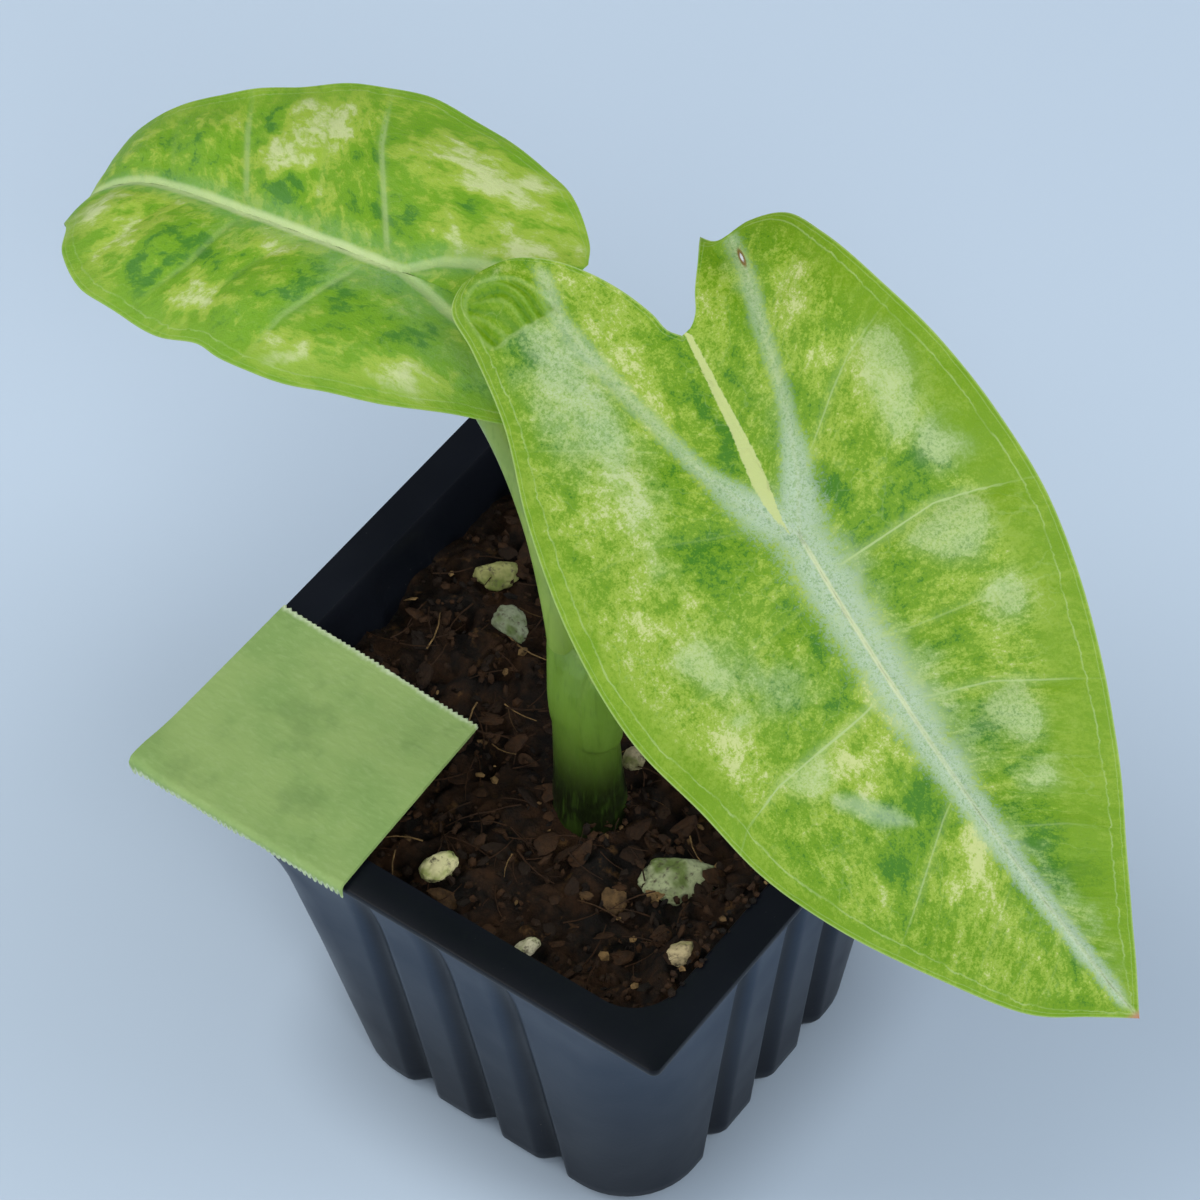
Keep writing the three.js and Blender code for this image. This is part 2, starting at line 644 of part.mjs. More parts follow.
addPiece('pot', potGeometry(), colour(0x1a1e28, 0.35));
addPiece('soil', soilGeometry(), colour(0x3a2c1e, 0.95));
CHIPS.forEach((chip, i) => {
  addPiece(`pumice_chip_${i + 1}`, chipGeometry(chip, 0), colour(0xb4b296, 0.9));
});
addPiece('stem', stemGeometry(), colour(0x466e1e, 0.45));
addPiece('leafstalk_front', stalkGeometry(STALK_FRONT, BLADE_FRONT), colour(0x7fa24a, 0.4));
addPiece('leafstalk_back', stalkGeometry(STALK_BACK, BLADE_BACK), colour(0x8fac58, 0.4));
addPiece('blade_front', bladeGeometry(BLADE_FRONT), colour(0x8cb83a, 0.35));
addPiece('blade_back', bladeGeometry(BLADE_BACK), colour(0x86b43c, 0.35));
addPiece('tape_label', tapeGeometry(), colour(0xaac878, 0.8));

export default plant;
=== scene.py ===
import math

import bpy
import numpy as np
from mathutils import Matrix, Vector, noise


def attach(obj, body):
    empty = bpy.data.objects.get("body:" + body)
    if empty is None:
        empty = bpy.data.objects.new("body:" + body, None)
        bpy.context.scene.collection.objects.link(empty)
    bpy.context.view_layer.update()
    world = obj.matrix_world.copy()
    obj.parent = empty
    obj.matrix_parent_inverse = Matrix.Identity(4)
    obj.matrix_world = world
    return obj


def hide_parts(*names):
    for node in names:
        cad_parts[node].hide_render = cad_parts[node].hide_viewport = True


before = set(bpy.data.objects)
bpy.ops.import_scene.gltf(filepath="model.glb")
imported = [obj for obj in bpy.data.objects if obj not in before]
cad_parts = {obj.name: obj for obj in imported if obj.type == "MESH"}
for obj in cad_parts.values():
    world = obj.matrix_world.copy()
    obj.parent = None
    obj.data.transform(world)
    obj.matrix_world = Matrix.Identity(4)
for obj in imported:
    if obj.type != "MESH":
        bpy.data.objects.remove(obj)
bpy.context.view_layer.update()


# The view: a long lens looking down on the plant from its front right corner, as a shop's picture
# is taken. Real sizes are typed in millimetres and turned into Blender's metres with MM.
MM = 0.001
CAMERA_PLACE = (181.459, -219.672, 417.701)
CAMERA_RIGHT = (0.802977, 0.594848, -0.037210)
CAMERA_UP = (-0.444961, 0.639842, 0.626587)
CAMERA_BACK = (0.396533, -0.486578, 0.778462)
LENS_LENGTH = 150
SENSOR_WIDTH = 36


def pick(*pieces):
    """Selects these pieces alone and makes the last one active."""
    bpy.ops.object.select_all(action="DESELECT")
    for piece in pieces:
        piece.select_set(True)
        bpy.context.view_layer.objects.active = piece


pick()
bpy.ops.object.camera_add()
camera = bpy.context.object
camera.name = "camera"
camera.data.lens = LENS_LENGTH
camera.data.sensor_width = SENSOR_WIDTH
turned = Matrix((CAMERA_RIGHT, CAMERA_UP, CAMERA_BACK)).transposed()
camera.matrix_world = Matrix.Translation(Vector(CAMERA_PLACE) * MM) @ turned.to_4x4()
camera.data.clip_start = 0.01
bpy.context.scene.camera = camera
bpy.context.scene.view_settings.view_transform = "Standard"


# The studio: a broad window to the upper left, a small soft one by the camera whose gloss lies on
# the front leaf, and pale air that is darker high up behind the plant, so that the rim stays dark.
def soft_window(name, place, aim, size, watts, tint):
    bpy.ops.object.light_add(type="AREA", location=Vector(place) * MM)
    window = bpy.context.object
    window.name = name
    window.data.shape = "RECTANGLE"
    window.data.size, window.data.size_y = (side * MM for side in size)
    window.data.energy = watts
    window.data.color = tint
    towards = (Vector(aim) - Vector(place)).to_track_quat("-Z", "Y")
    window.rotation_euler = towards.to_euler()


soft_window("left_window", (-420, -240, 620), (0, 0, 60), (460, 420), 2.4, (1.0, 0.98, 0.94))
soft_window("near_window", (420, -330, 560), (20, 0, 90), (240, 240), 1.6, (1.0, 0.99, 0.97))
soft_window("right_window", (560, 260, 380), (0, 0, 60), (360, 360), 1.3, (0.97, 0.98, 1.0))


def node(tree, kind, settings=None, inputs=None):
    made = tree.nodes.new(kind)
    for key, value in (settings or {}).items():
        setattr(made, key, value)
    feed(made, inputs or {})
    return made


def feed(made, inputs):
    """Gives a node its inputs: numbers, colours or other nodes' outputs."""
    for key, value in inputs.items():
        value = getattr(value, "socket", value)
        if isinstance(value, bpy.types.NodeSocket):
            made.id_data.links.new(value, made.inputs[key])
        else:
            made.inputs[key].default_value = value


class Value:
    """A node's output that is reckoned with like a number."""

    def __init__(self, socket):
        self.socket, self.id_data = socket, socket.id_data

    def __abs__(self):
        return maths("ABSOLUTE", self)


SIGNS = {"add": "ADD", "sub": "SUBTRACT", "mul": "MULTIPLY", "truediv": "DIVIDE", "pow": "POWER"}
for sign, operation in SIGNS.items():
    setattr(Value, f"__{sign}__", lambda one, other, operation=operation: maths(operation, one, other))
    setattr(Value, f"__r{sign}__", lambda one, other, operation=operation: maths(operation, other, one))


def tree_of(*values):
    """The node tree that these values belong to. Plain numbers belong to none."""
    return next(value.id_data for value in values if hasattr(value, "id_data"))


def maths(operation, *values):
    return Value(node(tree_of(*values), "ShaderNodeMath", {"operation": operation}, dict(enumerate(values))).outputs[0])


def blend(share, under, over):
    inputs = {0: share, 6: under, 7: over}
    return node(tree_of(share, under, over), "ShaderNodeMix", {"data_type": "RGBA"}, inputs).outputs[2]


def between(value, low, high, to_low=0, to_high=1):
    """Runs smoothly from to_low to to_high while the value runs from low to high."""
    inputs = dict(enumerate((value, low, high, to_low, to_high)))
    return Value(node(tree_of(value), "ShaderNodeMapRange", {"interpolation_type": "SMOOTHSTEP"}, inputs).outputs[0])


def noise_at(where, scale, detail=3, roughness=0.55, distortion=0):
    inputs = {"Vector": where, "Scale": scale, "Detail": detail, "Roughness": roughness, "Distortion": distortion}
    return Value(node(where.id_data, "ShaderNodeTexNoise", None, inputs).outputs[0])


def paint(red, green, blue):
    """A colour as the eye reads it, from 0 to 255, turned into light."""
    steps = (value / 255 for value in (red, green, blue))
    return tuple(s / 12.92 if s <= 0.04045 else ((s + 0.055) / 1.055) ** 2.4 for s in steps) + (1.0,)


def finish_of(name):
    """A new material, its shader, and the object's own coordinates in it."""
    material = bpy.data.materials.new(name)
    material.use_nodes = True
    shader = material.node_tree.nodes["Principled BSDF"]
    return material, shader, node(material.node_tree, "ShaderNodeTexCoord").outputs["Object"]


world = bpy.data.worlds.new("pale_air")
bpy.context.scene.world = world
world.use_nodes = True
air = world.node_tree
heading = node(air, "ShaderNodeTexCoord").outputs["Generated"]
DARK_SIDE, AIR_STRENGTH = (-0.46, 0.43, 0.777), 1.22
facing = node(air, "ShaderNodeVectorMath", {"operation": "DOT_PRODUCT"}, {0: heading, 1: DARK_SIDE}).outputs["Value"]
sky = blend(between(facing, 0.30, 0.86), (0.66, 0.70, 0.75, 1), (0.10, 0.115, 0.14, 1))
feed(air.nodes["Background"], {"Color": sky, "Strength": AIR_STRENGTH})


# The floor: a smooth pale blue-grey sheet that the pot stands on. It isn't part of the object.
def parts_of(where):
    """The x, y and z of a place."""
    return [Value(part) for part in node(where.id_data, "ShaderNodeSeparateXYZ", None, {0: where}).outputs]


FLOOR_REACH = 1400
pick()
bpy.ops.mesh.primitive_plane_add(size=2 * FLOOR_REACH * MM)
floor = bpy.context.object
floor.name = "floor"
floor_paint, shader, where = finish_of("pale_floor")
colour = blend(noise_at(where, 4, 2), paint(191, 208, 226), paint(198, 215, 231))
# It is duller close round the pot, where little light falls on it
x, y, _ = parts_of(where)
from_pot = (abs(x) ** 4 + abs(y) ** 4) ** 0.25
colour = blend(between(from_pot, 0.030, 0.017, 0, 0.55), colour, paint(96, 108, 122))
colour = blend(between(from_pot, 0.110, 0.020, 0, 0.13), colour, paint(110, 126, 142))
feed(shader, {"Base Color": colour, "Roughness": 0.7})
floor.data.materials.append(floor_paint)


# The pot: one thin shell of blue-black plastic, moulded with three shallow flutes in each side,
# flaring under a flat turned-out rim. It has four round drain holes in its base.
RIM_WIDTH, RIM_CORNER, RIM_EDGE, POT_HEIGHT, WALL = 60, 0.8, 0.22, 50, 0.9
MOUTH_WIDTH, BASE_WIDTH, BASE_EDGE = 52, 38.4, 1.2
CORNER_TOP, CORNER_BASE = 5.5, 8
# The outer wall: width, corner radius and height of its levels
WALL_LEVELS = [
    (38.72, 8, 1.2), (41.1, 8.1, 10), (43.8, 8.3, 20), (46.4, 8.4, 29), (47.4, 8.4, 32.5), (48.5, 8.2, 35.5),
    (49.7, 7.7, 38), (50.9, 7, 40), (52, 6.3, 41.8), (52.8, 5.8, 43.4), (53.2, 5.5, 45.2), (53.5, 5.5, 47),
    (53.6, 5.5, 48.6),
]
FLUTE_PITCH, FLUTE_WIDTH, FLUTE_TOP, FLUTE_BASE = 8, 4.2, 0.75, 1.45
DRAIN_WIDTH, DRAIN_PITCH = 6, 18
SIDE_STEPS, CORNER_STEPS = 100, 12
TOUCHING = 0.0005


def laid_grid(name, columns, rows, lay):
    """A flat grid, each vertex laid where lay(column, row) says, in millimetres, with the values
    that its material reads."""
    pick()
    bpy.ops.mesh.primitive_grid_add(x_subdivisions=columns, y_subdivisions=rows, size=2)
    piece = bpy.context.object
    piece.name = name
    flat = np.empty(len(piece.data.vertices) * 3)
    piece.data.vertices.foreach_get("co", flat)
    flat = flat.reshape(-1, 3)
    column = np.rint((flat[:, 0] + 1) / 2 * columns).astype(int)
    row = np.rint((flat[:, 1] + 1) / 2 * rows).astype(int)
    places, values = lay(column, row)
    piece.data.vertices.foreach_set("co", (np.asarray(places) * MM).ravel())
    piece.data.update()
    store(piece, values)
    return piece


def store(piece, values):
    for name, numbers in values.items():
        attribute = piece.data.attributes.new(name, "FLOAT", "POINT")
        attribute.data.foreach_set("value", numbers.astype(np.float32))


def stored(owner, name):
    """A value that every vertex carries, read in the tree of this node."""
    return Value(node(owner.id_data, "ShaderNodeAttribute", {"attribute_name": name}).outputs["Fac"])


def closed_up(piece, holes=False, smooth=40):
    """Joins the seam, closes what is open, turns the faces outward and smooths the shading."""
    pick(piece)
    bpy.ops.object.mode_set(mode="EDIT")
    bpy.ops.mesh.select_all(action="SELECT")
    bpy.ops.mesh.remove_doubles(threshold=TOUCHING * MM)
    bpy.ops.mesh.dissolve_degenerate(threshold=TOUCHING * MM)
    if holes:
        bpy.ops.mesh.fill_holes(sides=0)
    bpy.ops.mesh.select_all(action="SELECT")
    bpy.ops.mesh.normals_make_consistent(inside=False)
    bpy.ops.object.mode_set(mode="OBJECT")
    bpy.ops.object.shade_smooth_by_angle(angle=math.radians(smooth))


def bump(height, depth):
    return node(height.id_data, "ShaderNodeBump", None, {"Height": height, "Distance": depth * MM}).outputs[0]


def dress(piece, material, slot, *nodes):
    """Gives a finished piece its material, hangs it from the root and hides any solids that it takes the place of."""
    piece.data.materials.clear()
    piece.data.materials.append(material)
    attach(piece, "root")
    if nodes:
        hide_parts(*nodes)


def square_outline(step, width, corner, flute, side_steps, corner_steps):
    """Where a step round a square with round corners and three pressed-in flutes a side lies."""
    per_side = side_steps + corner_steps
    side, rest = np.divmod(step % (4 * per_side), per_side)
    half = width / 2
    share = np.minimum(rest / side_steps, 1)
    along = (half - corner) * (2 * share - 1)
    press = sum(
        np.where(abs(along - m) < FLUTE_WIDTH / 2, np.cos(np.pi * (along - m) / FLUTE_WIDTH) ** 2, 0)
        for m in (-FLUTE_PITCH, 0, FLUTE_PITCH)
    )
    turn = np.maximum(rest - side_steps, 0) / corner_steps * np.pi / 2
    out = half - corner + corner * np.cos(turn) - flute * press
    along = along + corner * np.sin(turn)
    facing = side * np.pi / 2
    return out * np.cos(facing) - along * np.sin(facing), out * np.sin(facing) + along * np.cos(facing)


def wall_rings(inset, low, high, count):
    """Levels of the fluted wall, inset from its outside. The flutes run out under the rim."""
    levels = np.array(WALL_LEVELS)
    rings = []
    for z in np.linspace(low, high, count):
        width, corner = (np.interp(z, levels[:, 2], levels[:, k]) for k in (0, 1))
        flute = np.interp(z, [0, 39.5, 45, 48.6], [FLUTE_BASE, FLUTE_TOP, 0.6 * FLUTE_TOP, 0])
        rings.append((width - 2 * inset, corner - inset, flute, z))
    return rings


low_rings = [
    (BASE_WIDTH - 2 * BASE_EDGE, CORNER_BASE - BASE_EDGE, FLUTE_BASE, 0),
    (BASE_WIDTH - 1.1 * BASE_EDGE, CORNER_BASE - 0.6, FLUTE_BASE, 0.12 * BASE_EDGE),
    (BASE_WIDTH - 0.5 * BASE_EDGE, CORNER_BASE - 0.3, FLUTE_BASE, 0.36 * BASE_EDGE),
    *wall_rings(0, BASE_EDGE, 48.6, 40),
]
collar, under = MOUTH_WIDTH + 2 * WALL, POT_HEIGHT - WALL
pot_rings = [
    *low_rings,
    (collar + 0.15, CORNER_TOP, 0, under - 0.1),
    (collar + 0.7, CORNER_TOP, 0, under),
    (RIM_WIDTH - 2 * RIM_EDGE, RIM_CORNER, 0, under),
    (RIM_WIDTH - 0.5 * RIM_EDGE, RIM_CORNER, 0, under + 0.3 * RIM_EDGE),
    (RIM_WIDTH, RIM_CORNER, 0, under + RIM_EDGE),
    (RIM_WIDTH, RIM_CORNER, 0, POT_HEIGHT - RIM_EDGE),
    (RIM_WIDTH - 0.5 * RIM_EDGE, RIM_CORNER, 0, POT_HEIGHT - 0.3 * RIM_EDGE),
    (RIM_WIDTH - 2 * RIM_EDGE, RIM_CORNER, 0, POT_HEIGHT),
    (MOUTH_WIDTH + 1.2, CORNER_TOP - WALL + 0.4, 0, POT_HEIGHT),
    (MOUTH_WIDTH + 0.4, CORNER_TOP - WALL + 0.1, 0, POT_HEIGHT - 0.12),
    (MOUTH_WIDTH, CORNER_TOP - WALL, 0, POT_HEIGHT - 0.5),
    *wall_rings(WALL, 47.6, WALL, 12),
]


def pot_lay(step, ring):
    width, corner, flute, z = (np.array(values)[ring] for values in zip(*pot_rings))
    x, y = square_outline(step, width, corner, flute, SIDE_STEPS, CORNER_STEPS)
    plain_x, plain_y = square_outline(step, width, corner, 0 * flute, SIDE_STEPS, CORNER_STEPS)
    press = np.hypot(plain_x - x, plain_y - y) / np.maximum(flute, 0.1)
    return np.stack([x, y, z], axis=1), {"outside": (ring < len(low_rings)) * 1.0, "press": press}


pot = laid_grid("pot_shell", 4 * (SIDE_STEPS + CORNER_STEPS), len(pot_rings) - 1, pot_lay)
closed_up(pot, holes=True)
for x, y in ((-1, -1), (-1, 1), (1, -1), (1, 1)):
    pick()
    place = Vector((x, y, 0)) * DRAIN_PITCH / 2 * MM
    bpy.ops.mesh.primitive_cylinder_add(vertices=48, radius=DRAIN_WIDTH / 2 * MM, depth=8 * MM, location=place)
    drill = bpy.context.object
    bpy.context.view_layer.objects.active = pot
    cut = pot.modifiers.new("drain", "BOOLEAN")
    cut.operation = "DIFFERENCE"
    cut.object = drill
    bpy.ops.object.modifier_apply(modifier=cut.name)
    bpy.data.objects.remove(drill)
pick(pot)
bpy.ops.object.shade_smooth_by_angle(angle=math.radians(35))

pot_plastic, shader, where = finish_of("pot_plastic")
colour = blend(between(noise_at(where, 60, 2), 0.35, 0.7), paint(13, 16, 22), paint(17, 20, 27))
# The fluted wall is painted lighter and bluer than the rim, a painted reflection of the pale floor, and painted shade
# makes it darker towards its foot and darkest in the flutes
wall = blend(between(parts_of(where)[2], 0.002, 0.042), paint(12, 16, 25), paint(27, 43, 62))
wall = blend(between(stored(shader, "press"), 0.15, 0.9) * 0.75, wall, paint(8, 10, 16))
colour = blend(stored(shader, "outside"), colour, wall)
dust = between(noise_at(where, 2600, 2, 0.6), 0.72, 0.78) * between(noise_at(where, 110, 2), 0.45, 0.7)
feed(shader, {
    "Base Color": blend(dust, colour, paint(110, 110, 104)),
    "Roughness": between(noise_at(where, 120, 2), 0.3, 0.7, 0.33, 0.40) + dust * 0.3,
    "Normal": bump(noise_at(where, 1800, 3), 0.008),
    "Specular IOR Level": 0.15,
})
dress(pot, pot_plastic, "pot_plastic", "pot")


# The potting mix: damp dark coir and bark, level with the collar and banked up on one side.
SOIL_LEVEL, SOIL_LUMP, SOIL_EDGE_DROP = 44, 0.9, 0.5
SOIL_BANK, SOIL_BANK_FROM, SOIL_MOUND, SOIL_MOUND_REACH = 4, 15.5, 0.9, 7.7
STEM_AT = (4.5, -5.6)
SOIL_HALF, SOIL_CORNER = 25.5, 4.3
SOIL_STEPS = 190


def seeded(state):
    """Repeatable numbers from 0 to 1, drawn in the same way as for the solids."""
    while True:
        state = (state * 1664525 + 1013904223) % 4294967296
        yield state / 4294967296


lump_draw = seeded(41)
lumps = []
for i, length in enumerate((22, 14, 9.5, 7, 5.6, 4.6)):
    turn, shift = next(lump_draw) * 2 * math.pi, next(lump_draw) * 2 * math.pi
    lumps.append((length, turn, shift, 0.42 / (1 + 0.35 * i)))


def soil_height(x, y):
    total = 0
    for length, turn, shift, size in lumps:
        along = x * np.cos(turn) + y * np.sin(turn)
        across = y * np.cos(turn) - x * np.sin(turn)
        total = total + size * np.sin(
            2 * np.pi * along / length + shift + 0.9 * np.sin(2 * np.pi * across / (1.7 * length))
        )
    from_stem = np.hypot(x - STEM_AT[0], y - STEM_AT[1]) / SOIL_MOUND_REACH
    ramp = np.clip((x - SOIL_BANK_FROM) / (MOUTH_WIDTH / 2 - SOIL_BANK_FROM), 0, 1)
    bank = SOIL_BANK * ramp * ramp * (3 - 2 * ramp)
    return SOIL_LEVEL + SOIL_LUMP * total + SOIL_MOUND * np.exp(-from_stem ** 2) + bank


def sampled(kind, x, y, z, *settings):
    """A kind of noise, read at each place."""
    return np.array([kind(Vector(place), *settings) for place in np.broadcast(x, y, z)])


def crumbled(x, y):
    """Clods and hollows between them, finer than the solids show."""
    clod = sampled(noise.turbulence, x / 2.6, y / 2.6, 3.0, 4, False)
    pit = sampled(noise.noise, x / 4.2, y / 4.2, 9.0)
    return 1.1 * (clod - 0.75) - 1.1 * np.maximum(pit - 0.18, 0) / 0.3


def soil_lay(column, row):
    x = (2 * column / SOIL_STEPS - 1) * SOIL_HALF
    y = (2 * row / SOIL_STEPS - 1) * SOIL_HALF
    reach = SOIL_HALF - SOIL_CORNER
    over_x, over_y = np.maximum(abs(x) - reach, 0), np.maximum(abs(y) - reach, 0)
    square = np.maximum(np.maximum(over_x, over_y), 1e-6)
    pull = square / np.maximum(np.hypot(over_x, over_y), 1e-6)
    x = np.sign(x) * (np.minimum(abs(x), reach) + over_x * pull)
    y = np.sign(y) * (np.minimum(abs(y), reach) + over_y * pull)
    edge = np.clip((np.maximum(abs(x), abs(y)) - SOIL_HALF + 1.2) / 1.2, 0, 1)
    z = soil_height(x, y) + crumbled(x, y) * (1 - 0.7 * edge) - SOIL_EDGE_DROP * edge
    return np.stack([x, y, np.minimum(z, POT_HEIGHT + 0.4)], axis=1), {}


soil = laid_grid("soil_mass", SOIL_STEPS, SOIL_STEPS, soil_lay)
bpy.ops.object.mode_set(mode="EDIT")
bpy.ops.mesh.select_mode(type="EDGE")
# The sides go down in narrowing rings: height, and how much narrower than the ring above
for level, shrink in ((41.9, 0.96), (39.5, 0.89), (1.2, 0.67)):
    bpy.ops.mesh.select_all(action="SELECT")
    bpy.ops.mesh.region_to_loop()
    bpy.ops.mesh.extrude_edges_move()
    bpy.ops.object.mode_set(mode="OBJECT")
    for v in soil.data.vertices:
        if v.select:
            v.co = (v.co.x * shrink, v.co.y * shrink, level * MM)
    bpy.ops.object.mode_set(mode="EDIT")
bpy.ops.object.mode_set(mode="OBJECT")
closed_up(soil, holes=True, smooth=60)

mix_finish, shader, where = finish_of("potting_mix")
colour = blend(between(noise_at(where, 260, 6, 0.65), 0.36, 0.70), paint(12, 8, 5), paint(54, 34, 17))
colour = blend(between(noise_at(where, 420, 4, 0.6), 0.60, 0.74) * 0.5, colour, paint(108, 78, 44))
coarse = bump(noise_at(where, 900, 6, 0.7), 0.5)
feed(shader, {"Base Color": colour, "Roughness": 0.8, "Specular IOR Level": 0.2, "Normal": coarse})
dress(soil, mix_finish, "potting_mix", "soil")


# Crumbs, bark flakes and coir fibres that lie loose on the mix, and a few on the rim's inner edge.
def knocked_grain(detail, seed, knocks=5, depth=0.3):
    """A round grain with flat places knocked into it."""
    draw = seeded(seed)
    pick()
    bpy.ops.mesh.primitive_ico_sphere_add(subdivisions=detail, radius=1)
    grain = bpy.context.object
    where_knocked = [Vector([next(draw) * 2 - 1 for _ in range(3)]).normalized() for _ in range(knocks)]
    for v in grain.data.vertices:
        v.co = v.co * (1 - sum(depth * max(0, v.co.dot(k) - 0.55) / 0.45 for k in where_knocked))
    return grain


def shape_of(piece):
    """A piece's vertices and faces, and the piece itself put away."""
    corners = np.array([v.co for v in piece.data.vertices])
    piece.data.calc_loop_triangles()
    faces = np.array([list(t.vertices) for t in piece.data.loop_triangles])
    bpy.data.objects.remove(piece)
    return corners, faces


def scattered(name, shapes, spots):
    """Copies of a few shapes in one mesh. A spot says where, how large, how turned and which tone."""
    corners, faces, tones, first = [], [], [], 0
    for kind, place, size, spin, tone in spots:
        points, sides = shapes[kind]
        corners.append((points * size) @ np.array(spin) + place)
        faces.append(sides + first)
        tones.append(np.full(len(points), tone))
        first += len(points)
    mesh = bpy.data.meshes.new(name)
    mesh.from_pydata((np.vstack(corners) * MM).tolist(), [], np.vstack(faces).tolist())
    piece = bpy.data.objects.new(name, mesh)
    bpy.context.scene.collection.objects.link(piece)
    store(piece, {"tone": np.concatenate(tones)})
    return piece


def tumbled(rng, lean):
    """A turn that leaves a flat piece lying down, tipped by up to lean."""
    return Matrix.Rotation(rng.uniform(0, 2 * math.pi), 3, "Z") @ Matrix.Rotation(
        rng.uniform(-lean, lean), 3, Vector((math.cos(rng.uniform(0, 6.28)), math.sin(rng.uniform(0, 6.28)), 0))
    )


CRUMBS, FLAKES, RIM_CRUMBS, FIBRES = 1500, 170, 60, 260
rng = np.random.default_rng(7)
grains = [shape_of(knocked_grain(1, seed, 4, 0.4)) for seed in (2, 5, 9)]
flakes = [shape_of(knocked_grain(2, seed, 7, 0.45)) for seed in (12, 14, 18)]


def on_the_mix(reach=24.8):
    return rng.uniform(-reach, reach), rng.uniform(-reach, reach)


def level_at(x, y):
    return float(soil_height(x, y))


spots = []
for _ in range(CRUMBS):
    x, y = on_the_mix()
    size = rng.uniform(0.18, 0.75) ** 1.2
    place = (x, y, level_at(x, y) + 0.2 * size + rng.uniform(-0.3, 0.2))
    shape = size * np.array([rng.uniform(0.7, 1.6), rng.uniform(0.4, 1.0), rng.uniform(0.3, 0.9)])
    spots.append((int(rng.integers(3)), place, shape, tumbled(rng, 1.5), rng.uniform(0, 1)))
for _ in range(FLAKES):
    x, y = on_the_mix(23.5)
    size = rng.uniform(0.7, 2.1)
    shape = size * np.array([1.0, rng.uniform(0.4, 0.8), rng.uniform(0.14, 0.3)])
    place = (x, y, level_at(x, y) + 0.15)
    spots.append((3 + int(rng.integers(3)), place, shape, tumbled(rng, 0.7), rng.uniform(0.2, 1)))
for _ in range(RIM_CRUMBS):
    y = rng.uniform(-22.5, -2)
    x = 25.0 + 1.5 * rng.uniform(0, 1) ** 1.6
    size = rng.uniform(0.12, 0.5)
    place = (x, y, max(POT_HEIGHT + 0.1, level_at(min(x, 25.5), y)))
    kind, shape = int(rng.integers(3)), size * rng.uniform(0.6, 1.2, 3)
    spots.append((kind, place, shape, tumbled(rng, 1.5), rng.uniform(0, 1)))
crumbs = scattered("soil_crumbs", grains + flakes, spots)
crumb_finish, shader, where = finish_of("bark_crumbs")
tone = stored(shader, "tone")
colour = blend(between(tone, 0, 0.85), paint(13, 9, 6), paint(58, 37, 19))
colour = blend(between(tone, 0.93, 0.99), colour, paint(138, 110, 70))
colour = blend(between(noise_at(where, 1300, 4, 0.6), 0.3, 0.7) * 0.65, colour, paint(26, 18, 11))
fibrous = bump(noise_at(where, 2200, 4, 0.6), 0.15)
feed(shader, {"Base Color": colour, "Roughness": 0.8, "Specular IOR Level": 0.2, "Normal": fibrous})
dress(crumbs, crumb_finish, "potting_mix")


def fibre_shape(seed):
    """A thin curved strand of three sides."""
    draw = seeded(seed)
    bend, twist = next(draw) * 1.6 - 0.8, next(draw) * 0.5
    pick()
    bpy.ops.mesh.primitive_cone_add(vertices=3, radius1=0.05, radius2=0.025, depth=2)
    strand = bpy.context.object
    bpy.ops.object.mode_set(mode="EDIT")
    bpy.ops.mesh.select_all(action="SELECT")
    bpy.ops.mesh.subdivide(number_cuts=2)
    bpy.ops.object.mode_set(mode="OBJECT")
    for v in strand.data.vertices:
        t = v.co.z
        v.co = Vector((t, v.co.x + 0.35 * bend * (1 - t * t), v.co.y + 0.12 * twist * (1 - t * t)))
    return strand


strands = [shape_of(fibre_shape(seed)) for seed in (3, 8, 21)]
spots = []
for _ in range(FIBRES):
    x, y = on_the_mix(23)
    size = rng.uniform(0.8, 2.6)
    place, shape = (x, y, level_at(x, y) + 0.45), np.array([size, size, 1.6])
    spots.append((int(rng.integers(3)), place, shape, tumbled(rng, 0.35), rng.uniform(0.5, 1)))
fibres = scattered("coir_fibres", strands, spots)
dress(fibres, crumb_finish, "potting_mix")


# Pale grains in the mix: six of pumice, weathered and a little green with algae, and one light
# bark chip. Each is a knocked grain with small pits, half sunk in the mix.
# Where each lies, its width, how slim and how low it is, its turn, lift, seed and colour
CHIPS = [
    ("pumice_chip_1", 16.6, -8.4, 7.4, 0.72, 0.6, 0.6, 0.6, 3, (150, 158, 118)),
    ("pumice_chip_2", -1.9, -20.4, 4.2, 0.85, 0.75, 1.9, 0.5, 8, (205, 200, 150)),
    ("pumice_chip_3", -19.0, 10.6, 4.8, 0.7, 0.65, 0.9, 0.4, 12, (150, 150, 90)),
    ("pumice_chip_4", -13.4, 5.8, 4.6, 0.75, 0.6, 2.5, 0.4, 17, (132, 140, 112)),
    ("pumice_chip_5", 23.6, -17.6, 3.2, 0.7, 0.7, 1.1, 0.4, 23, (176, 160, 120)),
    ("pumice_chip_6", 10.0, -22.6, 2.8, 0.8, 0.7, 1.1, 0.3, 31, (196, 190, 160)),
    ("pumice_chip_7", 5.6, -0.1, 3.0, 0.8, 0.75, 2.0, 0.4, 37, (150, 140, 110)),
]


def new_group(name, colours, numbers, results):
    """A node group that takes colours and numbers, and puts out a colour and further results."""
    group = bpy.data.node_groups.new(name, "ShaderNodeTree")
    for sockets, way, kind in (
        (colours, "INPUT", "Color"), (numbers, "INPUT", "Float"),
        (["Colour"], "OUTPUT", "Color"), (results, "OUTPUT", "Float"),
    ):
        for socket in sockets:
            group.interface.new_socket(socket, in_out=way, socket_type="NodeSocket" + kind)
    entry = group.nodes.new("NodeGroupInput").outputs
    return group, {socket: Value(entry[socket]) for socket in (*colours, *numbers)}, group.nodes.new("NodeGroupOutput")
